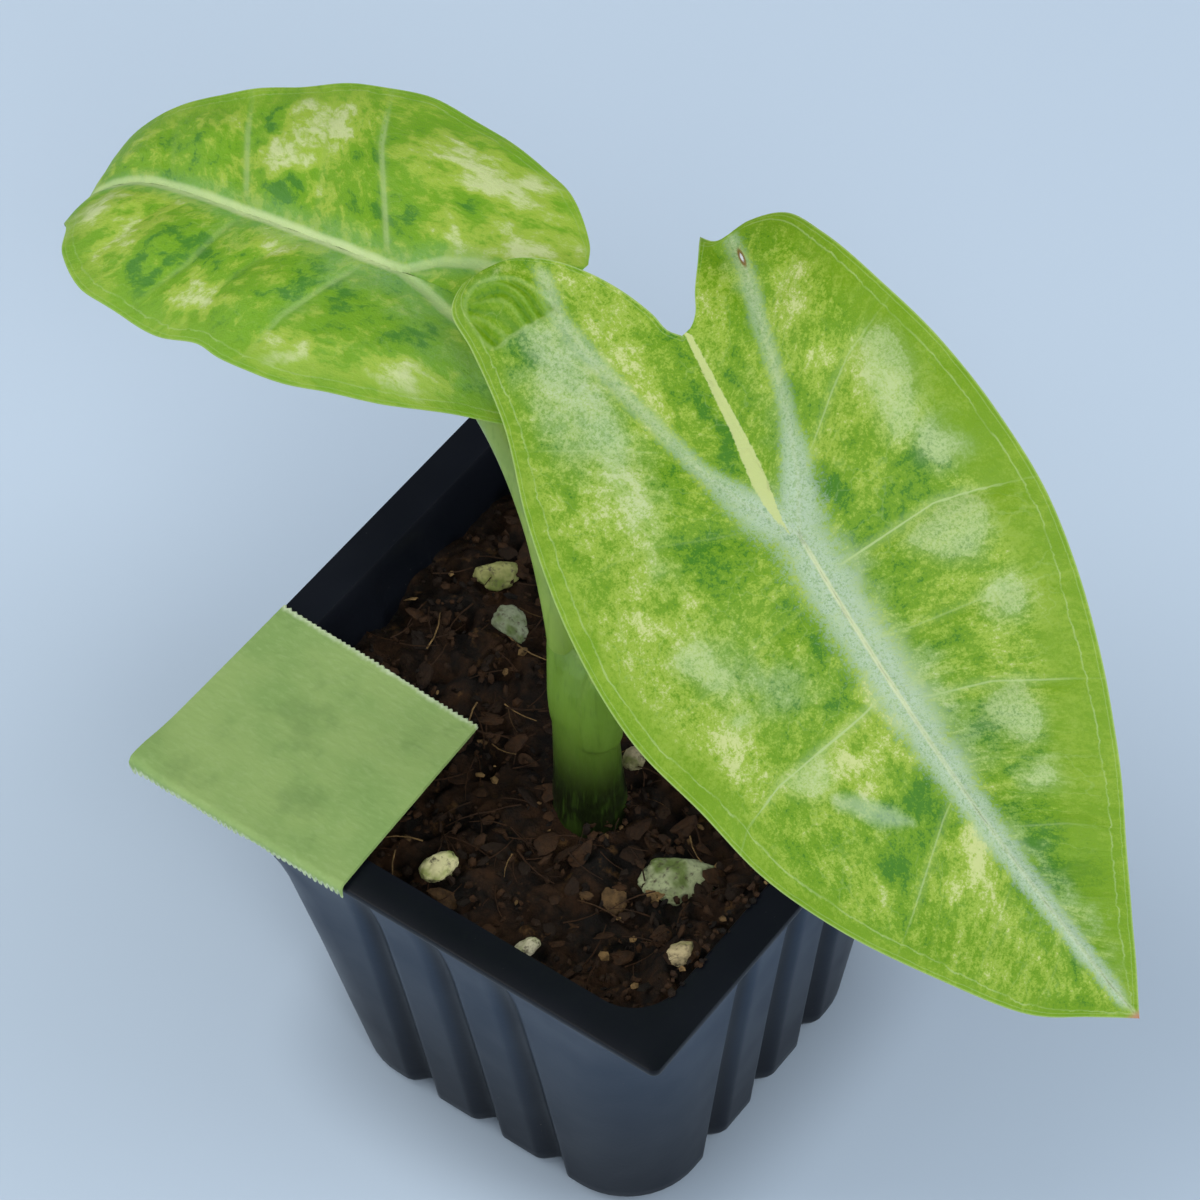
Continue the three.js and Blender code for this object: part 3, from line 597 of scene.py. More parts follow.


# Weathered stone, green with algae in places and darker brown in its pits
stone_group, given, put = new_group("weathered_stone", ["Pale", "Algae"], [], ["Height"])
place = node(stone_group, "ShaderNodeTexCoord").outputs["Object"]
pits = noise_at(place, 1500, 5, 0.65)
colour = blend(between(noise_at(place, 420, 3), 0.42, 0.66), given["Pale"], given["Algae"])
feed(put, {"Colour": blend(between(pits, 0.5, 0.3), colour, paint(70, 62, 44)), "Height": pits})

for name, x, y, width, slim, low, turn, lift, seed, pale in CHIPS:
    chip = knocked_grain(5, seed, 5, 0.28)
    chip.name = name + "_grain"
    for v in chip.data.vertices:
        p = v.co.copy()
        wave = 1 + 0.10 * noise.fractal(p * 2.2 + Vector((seed, 0, 0)), 1.0, 2.0, 4)
        wave -= 0.05 * max(noise.noise(p * 7 + Vector((0, seed, 0))), 0)
        v.co = Vector((p.x * width / 2, p.y * width * slim / 2, p.z * width * low / 2)) * wave
    lying = Matrix.Rotation(turn, 4, "Z") @ Matrix.Scale(MM, 4)
    chip.data.transform(Matrix.Translation(Vector((x, y, level_at(x, y) + lift)) * MM) @ lying)
    bpy.ops.object.shade_smooth()
    stone, shader, where = finish_of("stone_" + name)
    algae = paint(pale[0] * 0.62, pale[1] * 0.7, pale[2] * 0.42)
    shades = node(shader.id_data, "ShaderNodeGroup", {"node_tree": stone_group}, {"Pale": paint(*pale), "Algae": algae})
    pitted = bump(shades.outputs["Height"], 0.2)
    feed(shader, {"Base Color": shades.outputs["Colour"], "Normal": pitted, "Roughness": 0.8})
    dress(chip, stone, "pumice", name)


# The leaf blades: each grew as one thin arrow-shaped sheet with two lobes behind its stalk. It is
# laid out flat, u along the midrib and v to the side, then bent, arched and set at its slope.
BLADE_FRONT = {
    "junction": (28.5, -5.5, 99), "heading": -19, "pitch": 31, "roll": 20,
    "tip_arcs": [(30, 10), (25, 24)], "lobe_arcs": [(20, 4), (15, 14)],
    "sway": 0.0017, "sway_from": 0, "curl_from": -12, "curl": 0.025,
    "rise": 0.16, "drop": 0.01, "sinus": -19.2, "tip": 50.5,
    "left": [
        (-32.6, -11.5), (-32.4, -13.8), (-31, -15.5), (-27, -15.7), (-20.4, -16.5), (-12, -19),
        (-2, -20.7), (8, -20.7), (16, -19), (23, -17.8), (30, -15.2), (37.5, -11.2), (44.6, -6.8), (47.6, -3.2),
    ],
    "left_lobe": [(-32.2, -9), (-30.5, -6.4), (-28, -4.2), (-25, -2.4), (-22, -1.2), (-20.2, -0.8)],
    "right": [
        (-27.1, 5.7), (-25.7, 6.7), (-25.9, 10), (-24.8, 12.9), (-21, 14.6), (-14.9, 16.5), (-8.2, 18.3),
        (-1, 19.3), (7, 19.4), (14, 18.1), (21, 15.8), (29, 12.2), (36, 8.2), (44, 3.7),
    ],
    "right_lobe": [(-24.6, 4.4), (-22, 2.8), (-20.3, 1.9), (-19.4, 0.9)],
    # Side veins, from the lobe to the tip: each (distance from the midrib, distance along it)
    "left_veins": [
        [(0, -40), (8, -40), (20, -46)], [(0, -20), (8, -24.6), (13, -26.8), (16, -25.5)],
        [(0, -9), (5.6, -11), (20, -20)],
        [(0, -1), (5.6, -3), (12, -5.5), (20, -6)], [(0, 5), (8, 6.5), (21, 9)],
        [(0, 14.6), (3.3, 15.5), (12.3, 17), (16.5, 18.8), (20, 22)],
        [(0, 24.5), (2.8, 26.4), (9.7, 32.1), (16, 37)], [(0, 33), (4, 36), (12, 42)], [(0, 40), (8, 46.5)],
        [(0, 52), (8, 58)],
    ],
    "right_veins": [
        [(0, -30), (8, -35), (20, -42)], [(0, -14), (6, -16.5), (14, -22), (20, -25)],
        [(0, -3), (4.7, -5.8), (8.3, -8.8), (11, -10.8), (20, -15)],
        [(0, 2.6), (1.7, 3.9), (10.8, 3.4), (14.3, 4.2), (20, 6)],
        [(0, 10.4), (4.1, 11.3), (11.2, 12.3), (15.9, 13.3), (20, 15)],
        [(0, 16), (2.3, 17), (7, 18.4), (12.8, 21.7), (18, 25)], [(0, 22.6), (4, 24.2), (12, 29), (16, 32)],
        [(0, 29), (5.4, 31.8), (12, 37)],
        [(0, 36), (6, 40.5)], [(0, 42), (6, 47)], [(0, 52), (8, 58)],
    ],
    # How plainly each of those veins shows
    "left_shown": [0, 0.1, 0.3, 0.12, 0.1, 1, 0.6, 0.15, 0.15, 0],
    "right_shown": [0, 0.2, 0.6, 1, 0.3, 0.7, 0.12, 0.25, 0.15, 0.1, 0],
    "left_spine": [(-36, 7), (-30.4, 7.2), (-25.4, 8.1), (-17.8, 6.7), (-8.7, 4.4), (-4.9, 2.8), (0, 0), (60, 0)],
    "right_spine": [(-36, 9), (-21.6, 7.4), (-16.2, 6), (-10.2, 4.6), (-4.7, 2.6), (0, 0), (60, 0)],
    # How far inside the margin its vein runs, and how wide the smooth green border is, both along the blade
    "left_inset": [
        (-34, 0.9), (-23, 1.2), (-12, 1.7), (2, 1.4), (11, 1.5), (19, 1.9), (24, 1.7), (35, 1.5), (50, 0.5),
    ],
    "right_inset": [
        (-30, 0.8), (-10, 1.4), (10, 1.4), (17, 1.9), (22, 1.7), (27, 1.6), (32, 1.4), (43, 1.2), (50, 0.5),
    ],
    "left_border": [
        (-34, 0.6), (-20, 0.9), (-10, 1.4), (2, 2.2), (12, 3.2), (18, 2.6), (24, 1.4), (40, 0.8), (50, 0.6),
    ],
    "right_border": [
        (-28, 0.8), (-21, 1.6), (-14, 3.2), (-8, 4.4), (0, 4.6), (8, 4.8), (14, 3.8), (20, 5), (28, 6), (36, 5),
        (44, 2), (50, 1),
    ],
    # Places that stand up between the veins: u, v, reach along, reach across, height
    "bumps": [
        (5.5, -12.8, 3.4, 2.8, 0.55), (6.1, 11.9, 3, 3.6, 0.5), (21.5, 7.3, 2.6, 3.4, 0.55),
        (26.2, 5, 2.4, 3.2, 0.35),
        (-7.3, 12.7, 4, 3.2, 0.45), (22.1, -9.3, 2.4, 3.6, 0.5), (13.5, -10, 2.6, 3.4, 0.3),
        (-15.8, -10.2, 4, 2.6, 0.4),
        (-28.8, -12, 2.4, 2.6, 0.5), (13.5, 8.2, 2.4, 3, 0.3), (34, -6.5, 2.6, 3, 0.3), (-5, -11.5, 4, 3, 0.3),
    ],
    # Paler (above 0) and deeper (below 0) green: u, v, reach along, reach across, how much
    "tones": [
        (-11.5, -1.6, 4.5, 1, -0.55), (-14.4, 1.9, 2.6, 0.9, -0.3), (-8.7, -8, 2.2, 2, -0.2),
        (-2, -6.8, 3.2, 2.6, -0.3),
        (-2, 4.4, 1.8, 1.5, -0.5), (2.2, 5.4, 1.3, 3.2, -0.3), (7.7, -3.6, 3.6, 1.4, -0.36),
        (13.4, -4.2, 1.6, 2, -0.3),
        (23.4, -3.8, 1.5, 2.4, -0.42), (17.6, -5.6, 0.7, 0.7, -0.4), (27.5, -8, 2.6, 1.8, -0.32),
        (26.5, -3.4, 1.2, 1.2, -0.25),
        (21.5, 4, 1.6, 2.4, -0.3), (25.4, 5.4, 0.9, 2.6, -0.36), (33, 3.4, 5, 2.6, -0.34), (8, 4.6, 3, 2.2, -0.14),
        (13, 5, 2.4, 2.4, -0.2),
        (38, -2.2, 4, 2, -0.2), (12, -8.2, 2.4, 2.2, -0.16), (-8.5, 3.6, 2.2, 1, -0.2), (-15, -12.8, 2, 2, -0.12),
        (-24.4, -12.4, 1.3, 1.6, -0.3), (-12.6, -14.4, 1.3, 1.3, -0.3), (2, -8.8, 2, 1.4, -0.14),
        (0.5, 11.2, 1.6, 3, -0.22),
        (18.6, -6.4, 2.4, 2.6, 0.46), (16.4, -2.2, 3.4, 1, 0.42), (18.4, -9.6, 1.2, 1.6, 0.3), (21, -2.6, 2, 1, 0.25),
        (30.2, -2.2, 2.2, 1.2, 0.55), (32.6, -3.6, 2.6, 1.6, 0.4), (36.5, -5, 3.4, 2.4, 0.2),
        (41, -2.6, 2.6, 1.6, 0.2), (29.5, -11.5, 2, 1.6, 0.2),
        (0.6, -10.2, 2.2, 1.4, 0.26), (-8.4, -11, 2.6, 2.2, 0.32), (-12, -10, 3, 2.6, 0.22),
        (-15.5, -5, 4.4, 1.4, 0.28), (-22.5, -5, 4, 1, 0.3),
        (-19.6, 11.6, 2, 1.6, 0.42), (-16.3, 9.6, 1.4, 1.4, 0.4), (-11.4, 9, 1.8, 1.6, 0.45),
        (-7.4, 11.6, 2.6, 2, 0.35), (-4.4, 5.6, 1.6, 1.4, 0.2),
        (-21, 3.6, 2.6, 0.8, 0.3), (-14, 3.6, 3, 0.8, 0.18), (10.5, 5, 1.4, 1.8, 0.16), (12, 10, 1.6, 2.4, 0.2),
        (25.5, 3, 1.2, 1, 0.3),
        (-5, 1.8, 2.4, 0.9, 0.12), (48.5, 0, 3, 2.4, 0.2), (-30, 8, 3, 3, 0.2), (-28.5, -5.6, 2.6, 1.2, 0.2),
        (-6, -14.5, 9, 4, 0.16), (4, -16.5, 8, 3.6, 0.16), (-17, -10.5, 7, 5, 0.14), (14, 7, 6, 4, 0.12),
        (26, 9, 8, 4, 0.1), (14, 14.5, 9, 2.4, 0.12), (12.5, -13.5, 4, 3, 0.36),
    ],
    # Silvery veils, in the same way
    "veils": [
        (-23.7, -10.2, 3, 2.8, 0.75), (-19, -9.8, 3.4, 2.8, 0.75), (-13.7, -10, 3.2, 2.6, 0.65),
        (-8.5, -10.8, 2.6, 2, 0.55), (-3.4, -11.4, 2.2, 1.8, 0.4),
        (-18, -13.6, 4, 1.6, 0.35), (3.9, 2.5, 2.6, 1.4, 0.5), (7.5, 1.2, 3.4, 2.2, 0.5), (13.5, 1.6, 3, 2, 0.5),
        (17.5, 2.2, 3, 2.4, 0.55), (22.6, 1.6, 2.4, 2.2, 0.5),
        (-4.1, -1.3, 2.4, 2.2, 0.5), (8.7, -9, 2.4, 2, 0.45), (11.1, -7, 2, 2.4, 0.35), (-8, 3, 5, 1.6, 0.3),
        (-21, 6.6, 3, 1.2, 0.3),
        (-1, 13.4, 2.6, 2.2, 0.55), (13, 11.6, 2, 2.4, 0.4), (31, 1.6, 3, 1.4, 0.45), (37, 1.6, 4, 1.2, 0.45),
        (26.9, 5.8, 1.4, 2.4, 0.4), (22, 6.2, 2.4, 2.4, 0.3),
        (-27.5, -11.4, 1.4, 1.2, 0.3), (-31.4, -10.8, 0.8, 1.6, 0.4), (43, 0.6, 4, 1.4, 0.4), (6, -11, 3, 2.6, 0.3),
        (-17.5, 6.2, 3, 1, 0.3),
    ],
    # Places of painted highlight with clear edges, bluish places of painted reflection and creased cells, each a closed
    # outline (u, v)
    "shining": [
        [(3.8, 13.8), (5.8, 14.3), (7.3, 13.8), (8.4, 12.7), (8.9, 11.6), (8.3, 10.2), (6.8, 8.5), (5.2, 7.3),
         (4.1, 9), (3.9, 11.4)],
        [(11.5, 13.5), (13.5, 13.4), (14.6, 12.5), (14.4, 11.1), (12.6, 10.2), (11.5, 11.4)],
        [(19.2, 6.9), (19.3, 8.7), (20.1, 9.3), (21.6, 9.2), (23.2, 8.7), (24.1, 8), (24.2, 6.6), (22.7, 6.1),
         (21.1, 5.3), (20, 5.3)],
        [(26.4, 6.2), (26.8, 7.2), (27.6, 7.2), (28.3, 6.6), (27.9, 5.4), (27.4, 4.6), (26.8, 5.2)],
        [(3.7, -14.3), (3.1, -13.1), (3.2, -11.7), (4.3, -10.9), (5.9, -11.2), (7, -10.7), (8.1, -11.2),
         (8.4, -12.3), (7.2, -13.1), (5.9, -13.7), (4.7, -14.3)],
        [(10.1, -13), (10.2, -11.6), (11.1, -11), (11.3, -12.3), (10.9, -13.1)],
        [(17.1, -11.9), (16.7, -9.5), (16.6, -8), (17.6, -8), (18.8, -8.6), (19.4, -9.6), (19.2, -10.5)],
        [(-11.3, 12.4), (-11.4, 14.7), (-9.2, 15.2), (-7.1, 15), (-4.6, 13.9), (-2.8, 12.4), (-2.6, 10.8),
         (-5.3, 10.7), (-8.6, 11.2)],
        [(-2.4, 13.5), (-1.2, 14.7), (0.5, 14.8), (1.1, 13.3), (0.3, 12.2), (-1.4, 12.2)],
    ],
    "bluish": [
        [(19.9, -9.4), (20.2, -8.2), (21.5, -6.8), (24.2, -5.2), (25.3, -5.2), (25.1, -6.1), (23.8, -7.5),
         (22, -8.6), (21, -9.5)],
    ],
    "creased": [
        [(-30.9, -14.2), (-31.4, -13.5), (-31.6, -12.5), (-31.2, -11), (-30.4, -9.6), (-29.2, -8.8), (-28, -8.2),
         (-26.4, -7.8),
         (-26.2, -9.5), (-26.3, -10.8), (-26.3, -12.3), (-26.2, -14), (-26.9, -14.4), (-28.4, -14.6), (-29.9, -14.6)],
    ],
    # The cream streak in the notch: u, v of its middle, half its width
    "streak": [
        (-19.3, 0.5, 0.30), (-16.8, 0.35, 0.34), (-13.3, 0.1, 0.42), (-10.5, -0.05, 0.5), (-7.4, -0.35, 0.66),
        (-5.4, -0.6, 0.7), (-3.4, -0.8, 0.5), (-1.6, -0.8, 0.26), (-0.2, -0.6, 0.05),
    ],
}

BLADE_BACK = {
    "junction": (-15, -3, 102), "heading": -174, "pitch": 1, "roll": -6,
    "tip_arcs": [(25.5, 6), (5.8, 30), (7, 108)], "lobe_arcs": [(18, 12)],
    "sway": 0.02, "sway_from": 22, "curl_from": -40, "curl": 0,
    "rise": 0.14, "drop": 0.01, "sinus": -8, "tip": 37.2,
    "left": [
        (-14, -8), (-13, -10), (-9, -13.7), (-5, -15.5), (3, -17.6), (9, -18.3),
        (15, -16.8), (20, -14), (25, -11), (30, -8.4), (33.3, -5.4), (35.8, -2.2),
    ],
    "left_lobe": [(-13.4, -5.5), (-11.2, -2.8), (-9, -1.4)],
    "right": [
        (-18, 6.5), (-17, 9), (-11, 11.2), (-4, 13.2), (3, 14.5), (9.3, 14.7), (12, 14.2), (15.5, 14.7),
        (20, 14.1), (24.9, 13), (28.8, 9.4), (31, 5.4), (34.2, 2.4),
    ],
    "right_lobe": [(-17.2, 4), (-13.6, 2), (-9.8, 1.3)],
    "left_veins": [
        [(0, -24), (20, -34)], [(0, -6), (3.3, -8), (10, -13), (20, -20)], [(0, 1.5), (1.1, 2), (11, 8.6), (20, 13)],
        [(0, 9), (8, 12.5), (18, 18)], [(0, 16), (7.2, 20.3), (14, 24)], [(0, 24), (8, 28)], [(0, 31), (6, 34)],
        [(0, 40), (6, 44)],
    ],
    "right_veins": [
        [(0, -26), (20, -34)], [(0, -8), (6, -11), (14, -16)], [(0, 3), (1.4, 3.6), (9.1, 6.6), (13.5, 7.3), (18, 9)],
        [(0, 10), (8, 13), (16, 15)], [(0, 15.6), (1.6, 16.4), (7.7, 17.4), (14, 20)], [(0, 22), (12, 27)],
        [(0, 29), (6, 33)], [(0, 40), (6, 44)],
    ],
    "left_shown": [0, 0, 0.9, 0.1, 0.7, 0.1, 0, 0],
    "right_shown": [0, 0.1, 0.5, 0.1, 0.3, 0, 0, 0],
    "left_spine": [(-22, 7), (-5.3, 3.3), (-2.7, 2.2), (0, 0), (60, 0)],
    "right_spine": [(-22, 6), (-5.5, 1.9), (-3, 0.9), (0, 0), (60, 0)],
    "left_inset": [(-14, 1), (38, 1)],
    "right_inset": [(-18, 1.2), (38, 1.2)],
    "left_border": [(-14, 0.8), (12, 1.4), (20, 2.6), (38, 1.4)],
    "right_border": [(-18, 1.6), (0, 2.2), (20, 2), (38, 1.4)],
    "bumps": [
        (5, -10, 4, 4, 0.5), (14, -8, 3, 4, 0.5), (23, -6, 3, 3, 0.5), (10, 8, 3.4, 3.4, 0.5),
        (21, 6, 3.2, 3.2, 0.4), (-6, 7, 3, 3, 0.4),
    ],
    # Some of the deeper places are painted shade along creases
    "tones": [
        (16.5, -6, 2.6, 2.2, 0.42), (16, -12, 2.6, 2.6, 0.28), (12.5, -10.4, 2.6, 2.8, 0.32),
        (10.8, -4, 1.8, 1.8, 0.4), (13.6, -6.4, 2, 2, 0.3), (5.1, -12, 3, 1.8, 0.3),
        (-1, -12.6, 4, 1.8, 0.43), (-6, -11.6, 4, 2.2, 0.43), (-1.8, -10.2, 2.6, 1.6, 0.4),
        (-1.4, -6.6, 1.8, 1.4, 0.3), (-2.8, -4, 1.6, 1, 0.36), (-8, -7, 3, 2.6, 0.34), (-11, -9, 3, 3, 0.36),
        (23.5, 5.9, 2, 3, 0.44), (28, 3.6, 3, 2.6, 0.34), (14.1, 10, 2.8, 2.6, 0.3), (11.7, 1.8, 1.8, 1.4, 0.4),
        (3.3, 11.7, 3.4, 1.8, 0.3), (-5.7, 10.6, 4, 1.6, 0.36), (5, 12.8, 4, 1.2, 0.3),
        (1, -9.4, 2.4, 1.6, 0.24), (30.5, 7, 2, 2.4, 0.3), (22.5, -7, 3, 2, 0.1), (27, -9, 4, 4, 0.14),
        (22.5, -13, 3, 2.6, 0.14),
        (19.4, -9.6, 1.1, 3.4, -0.42), (12.4, -2.6, 2, 1.3, -0.3), (9.2, -12.2, 1.5, 2.2, -0.32),
        (-2.2, -8.2, 1.3, 1.5, -0.36), (3.6, -4.6, 2, 2, -0.3), (-6, -9.2, 1.6, 1, -0.3),
        (20, 10.6, 2.6, 2, -0.34), (10.8, 12, 2.4, 1.5, -0.3), (-4.6, 6.4, 2.6, 1.8, -0.3),
        (16.6, 5.4, 2.8, 2.4, -0.22), (14.6, -3.4, 2, 1, -0.25), (6.6, -9, 1.6, 2, -0.24), (20, 4.4, 2, 2, -0.2),
        (2.9, 5.2, 2, 1.6, -0.24), (8, 4.6, 2.4, 2, -0.16), (-12, 7.6, 3, 3, -0.1), (24.6, -4.2, 2, 1.2, -0.2),
        (1.6, 8.6, 2, 1.4, -0.16),
    ],
    "veils": [
        (15.8, 2.6, 3, 1.6, 0.5), (5.1, 2.6, 2.6, 1.8, 0.75), (1, 2, 2.4, 1.6, 0.7), (-3.3, 3.4, 2.4, 2.2, 0.75),
        (6.2, 7.6, 2, 2.4, 0.5), (-8.4, 6, 3.4, 3, 0.6), (-13, 6.4, 3, 3, 0.5),
        (0, -0.8, 2.4, 1.2, 0.5), (8, 0.6, 4, 1, 0.4), (-10, 10.5, 4, 1.4, 0.3),
    ],
    "shining": [], "bluish": [], "creased": [],
    "streak": [(-30, 0, 0), (-29, 0, 0)],
}
LOBE_ROWS, RIB_ROWS, TIP_CROWDING = 44, 196, 1.3
BLADE_THICKNESS, RIB_HEIGHT, RIB_WIDTH, RIB_RUN_OUT = 0.42, 1.2, 1.3, 6
# Where the columns lie from the midrib or the notch to the margin, crowded at the thin edge
ACROSS = np.concatenate([np.linspace(0, 0.965, 62), [0.975, 0.984, 0.991, 0.996, 0.999, 1.0]])


def smooth_line(corners, shares):
    """Points at these shares of a smooth curve through the corners, and the curve's length."""
    knots = np.array(corners, float)
    knots = np.vstack([2 * knots[0] - knots[1], knots, 2 * knots[-1] - knots[-2]])
    fine = np.linspace(0, 1, 80, endpoint=False)[:, None]
    drawn = []
    for a, b, c, d in zip(knots, knots[1:], knots[2:], knots[3:]):
        before, step, after = (max(np.linalg.norm(q - p), 1e-9) ** 0.5 for p, q in ((a, b), (b, c), (c, d)))
        leave = ((b - a) / before - (c - a) / (before + step) + (c - b) / step) * step
        arrive = ((c - b) / step - (d - b) / (step + after) + (d - c) / after) * step
        drawn.append(b + leave * fine + (3 * (c - b) - 2 * leave - arrive) * fine ** 2
                     + (2 * (b - c) + leave + arrive) * fine ** 3)
    drawn = np.vstack(drawn + [knots[-2:-1]])
    length = np.concatenate([[0], np.cumsum(np.linalg.norm(np.diff(drawn, axis=0), axis=1))])
    at = np.asarray(shares) * length[-1]
    return np.stack([np.interp(at, length, drawn[:, k]) for k in range(drawn.shape[1])], axis=1), length[-1]


def along_arcs(distance, arcs):
    x, h, angle = np.zeros_like(distance), np.zeros_like(distance), np.zeros_like(distance)
    rest = distance.copy()
    for length, degrees in arcs:
        step = np.clip(rest, 0, length)
        bend = math.radians(degrees) / length
        after = angle + bend * step
        x += (np.sin(after) - np.sin(angle)) / bend
        h -= (np.cos(angle) - np.cos(after)) / bend
        angle = after
        rest = rest - step
    return x + rest * np.cos(angle), h - rest * np.sin(angle), angle


def blade_axes(blade):
    heading, pitch, roll = (math.radians(blade[k]) for k in ("heading", "pitch", "roll"))
    along = np.array([math.cos(heading) * math.cos(pitch), math.sin(heading) * math.cos(pitch), -math.sin(pitch)])
    level = np.array([-math.sin(heading), math.cos(heading), 0])
    side = level * math.cos(roll) + np.cross(along, level) * math.sin(roll)
    return along, side, np.cross(along, side)


def blade_points(blade, u, v, bulge, depth):
    """Where points of the flat layout come to lie on the bent blade, depth below its face."""
    forward = u > 0
    tip_side = along_arcs(np.maximum(u, 0), blade["tip_arcs"])
    lobe_side = along_arcs(np.maximum(-u, 0), blade["lobe_arcs"])
    angle = np.where(forward, tip_side[2], -lobe_side[2])
    arch = blade["rise"] * np.sqrt(v * v + 0.5) - blade["drop"] * v * v + bulge
    curled = (v > 0) & (u < blade["curl_from"])
    arch = arch - np.where(curled, blade["curl"] * (blade["curl_from"] - u) ** 2 * np.minimum(v / 6, 1), 0)
    lift = arch - depth
    x = np.where(forward, tip_side[0], -lobe_side[0]) + lift * np.sin(angle)
    z = np.where(forward, tip_side[1], lobe_side[1]) + lift * np.cos(angle)
    y = v + blade["sway"] * np.maximum(u - blade["sway_from"], 0) ** 2
    along, side, up = blade_axes(blade)
    return np.array(blade["junction"]) + x[:, None] * along + y[:, None] * side + z[:, None] * up


def half_layout(blade, outer, lobe):
    """The flat layout of half a blade: for each row its place on the inner line and on the margin."""
    shares = np.linspace(0, 1, 1200)
    rows = np.arange(LOBE_ROWS + RIB_ROWS + 1)
    on_rib = 1 - (1 - np.maximum(rows - LOBE_ROWS, 0) / RIB_ROWS) ** TIP_CROWDING
    on_lobe = np.minimum(rows / LOBE_ROWS, 1)
    inner_line = [outer[0], *lobe, (blade["sinus"], 0)]
    lobe_length = smooth_line(inner_line, shares)[1]
    share = lobe_length / (lobe_length + blade["tip"] - blade["sinus"])
    margin = smooth_line([*outer, (blade["tip"], 0)], share * on_lobe + (1 - share) * on_rib)[0]
    start = smooth_line(inner_line, on_lobe)[0]
    on_midrib = rows >= LOBE_ROWS
    start[on_midrib, 0] = blade["sinus"] + (blade["tip"] - blade["sinus"]) * on_rib[on_midrib]
    start[on_midrib, 1] = 0
    return start, margin


def vein_field(veins, u, away):
    """How far a point has come from one side vein to the next, and how wide that space is."""
    lines = np.array([np.interp(away, *zip(*vein)) for vein in veins])
    passed = np.clip((u[None, :] > lines).sum(axis=0) - 1, 0, len(veins) - 2)
    low = np.take_along_axis(lines, passed[None, :], 0)[0]
    high = np.take_along_axis(lines, passed[None, :] + 1, 0)[0]
    gap = np.maximum(high - low, 0.5)
    return passed + np.clip((u - low) / gap, 0, 1), gap


def near(distance, reach):
    return np.exp(-(distance / reach) ** 2)


def spread(places, u, v):
    """The sum of soft round places."""
    return sum(amount * near((u - cu) / ru, 1) * near((v - cv) / rv, 1) for cu, cv, ru, rv, amount in places)


def depth_inside(outlines, u, v):
    """How far points lie inside the nearest of some closed outlines, below 0 outside."""
    deepest = np.full(len(u), -9.0)
    points = np.stack([u, v], axis=1)[:, None]
    for outline in outlines:
        a = smooth_line([*outline, outline[0]], np.linspace(0, 1, 41))[0][:-1]
        b = np.roll(a, -1, axis=0)
        step = b - a
        share = np.clip(((points - a) * step).sum(axis=2) / (step * step).sum(axis=1), 0, 1)
        away = np.linalg.norm(points - a - share[..., None] * step, axis=2).min(axis=1)
        crossed = (a[:, 1] > v[:, None]) != (b[:, 1] > v[:, None])
        rise = np.where(abs(step[:, 1]) < 1e-9, 1e-9, step[:, 1])
        crossed &= u[:, None] < a[:, 0] + step[:, 0] * (v[:, None] - a[:, 1]) / rise
        deepest = np.maximum(deepest, np.where(crossed.sum(axis=1) % 2 == 1, away, -away))
    return deepest


# Vector noise takes its start from the clock unless it is given one
noise.seed_set(3)


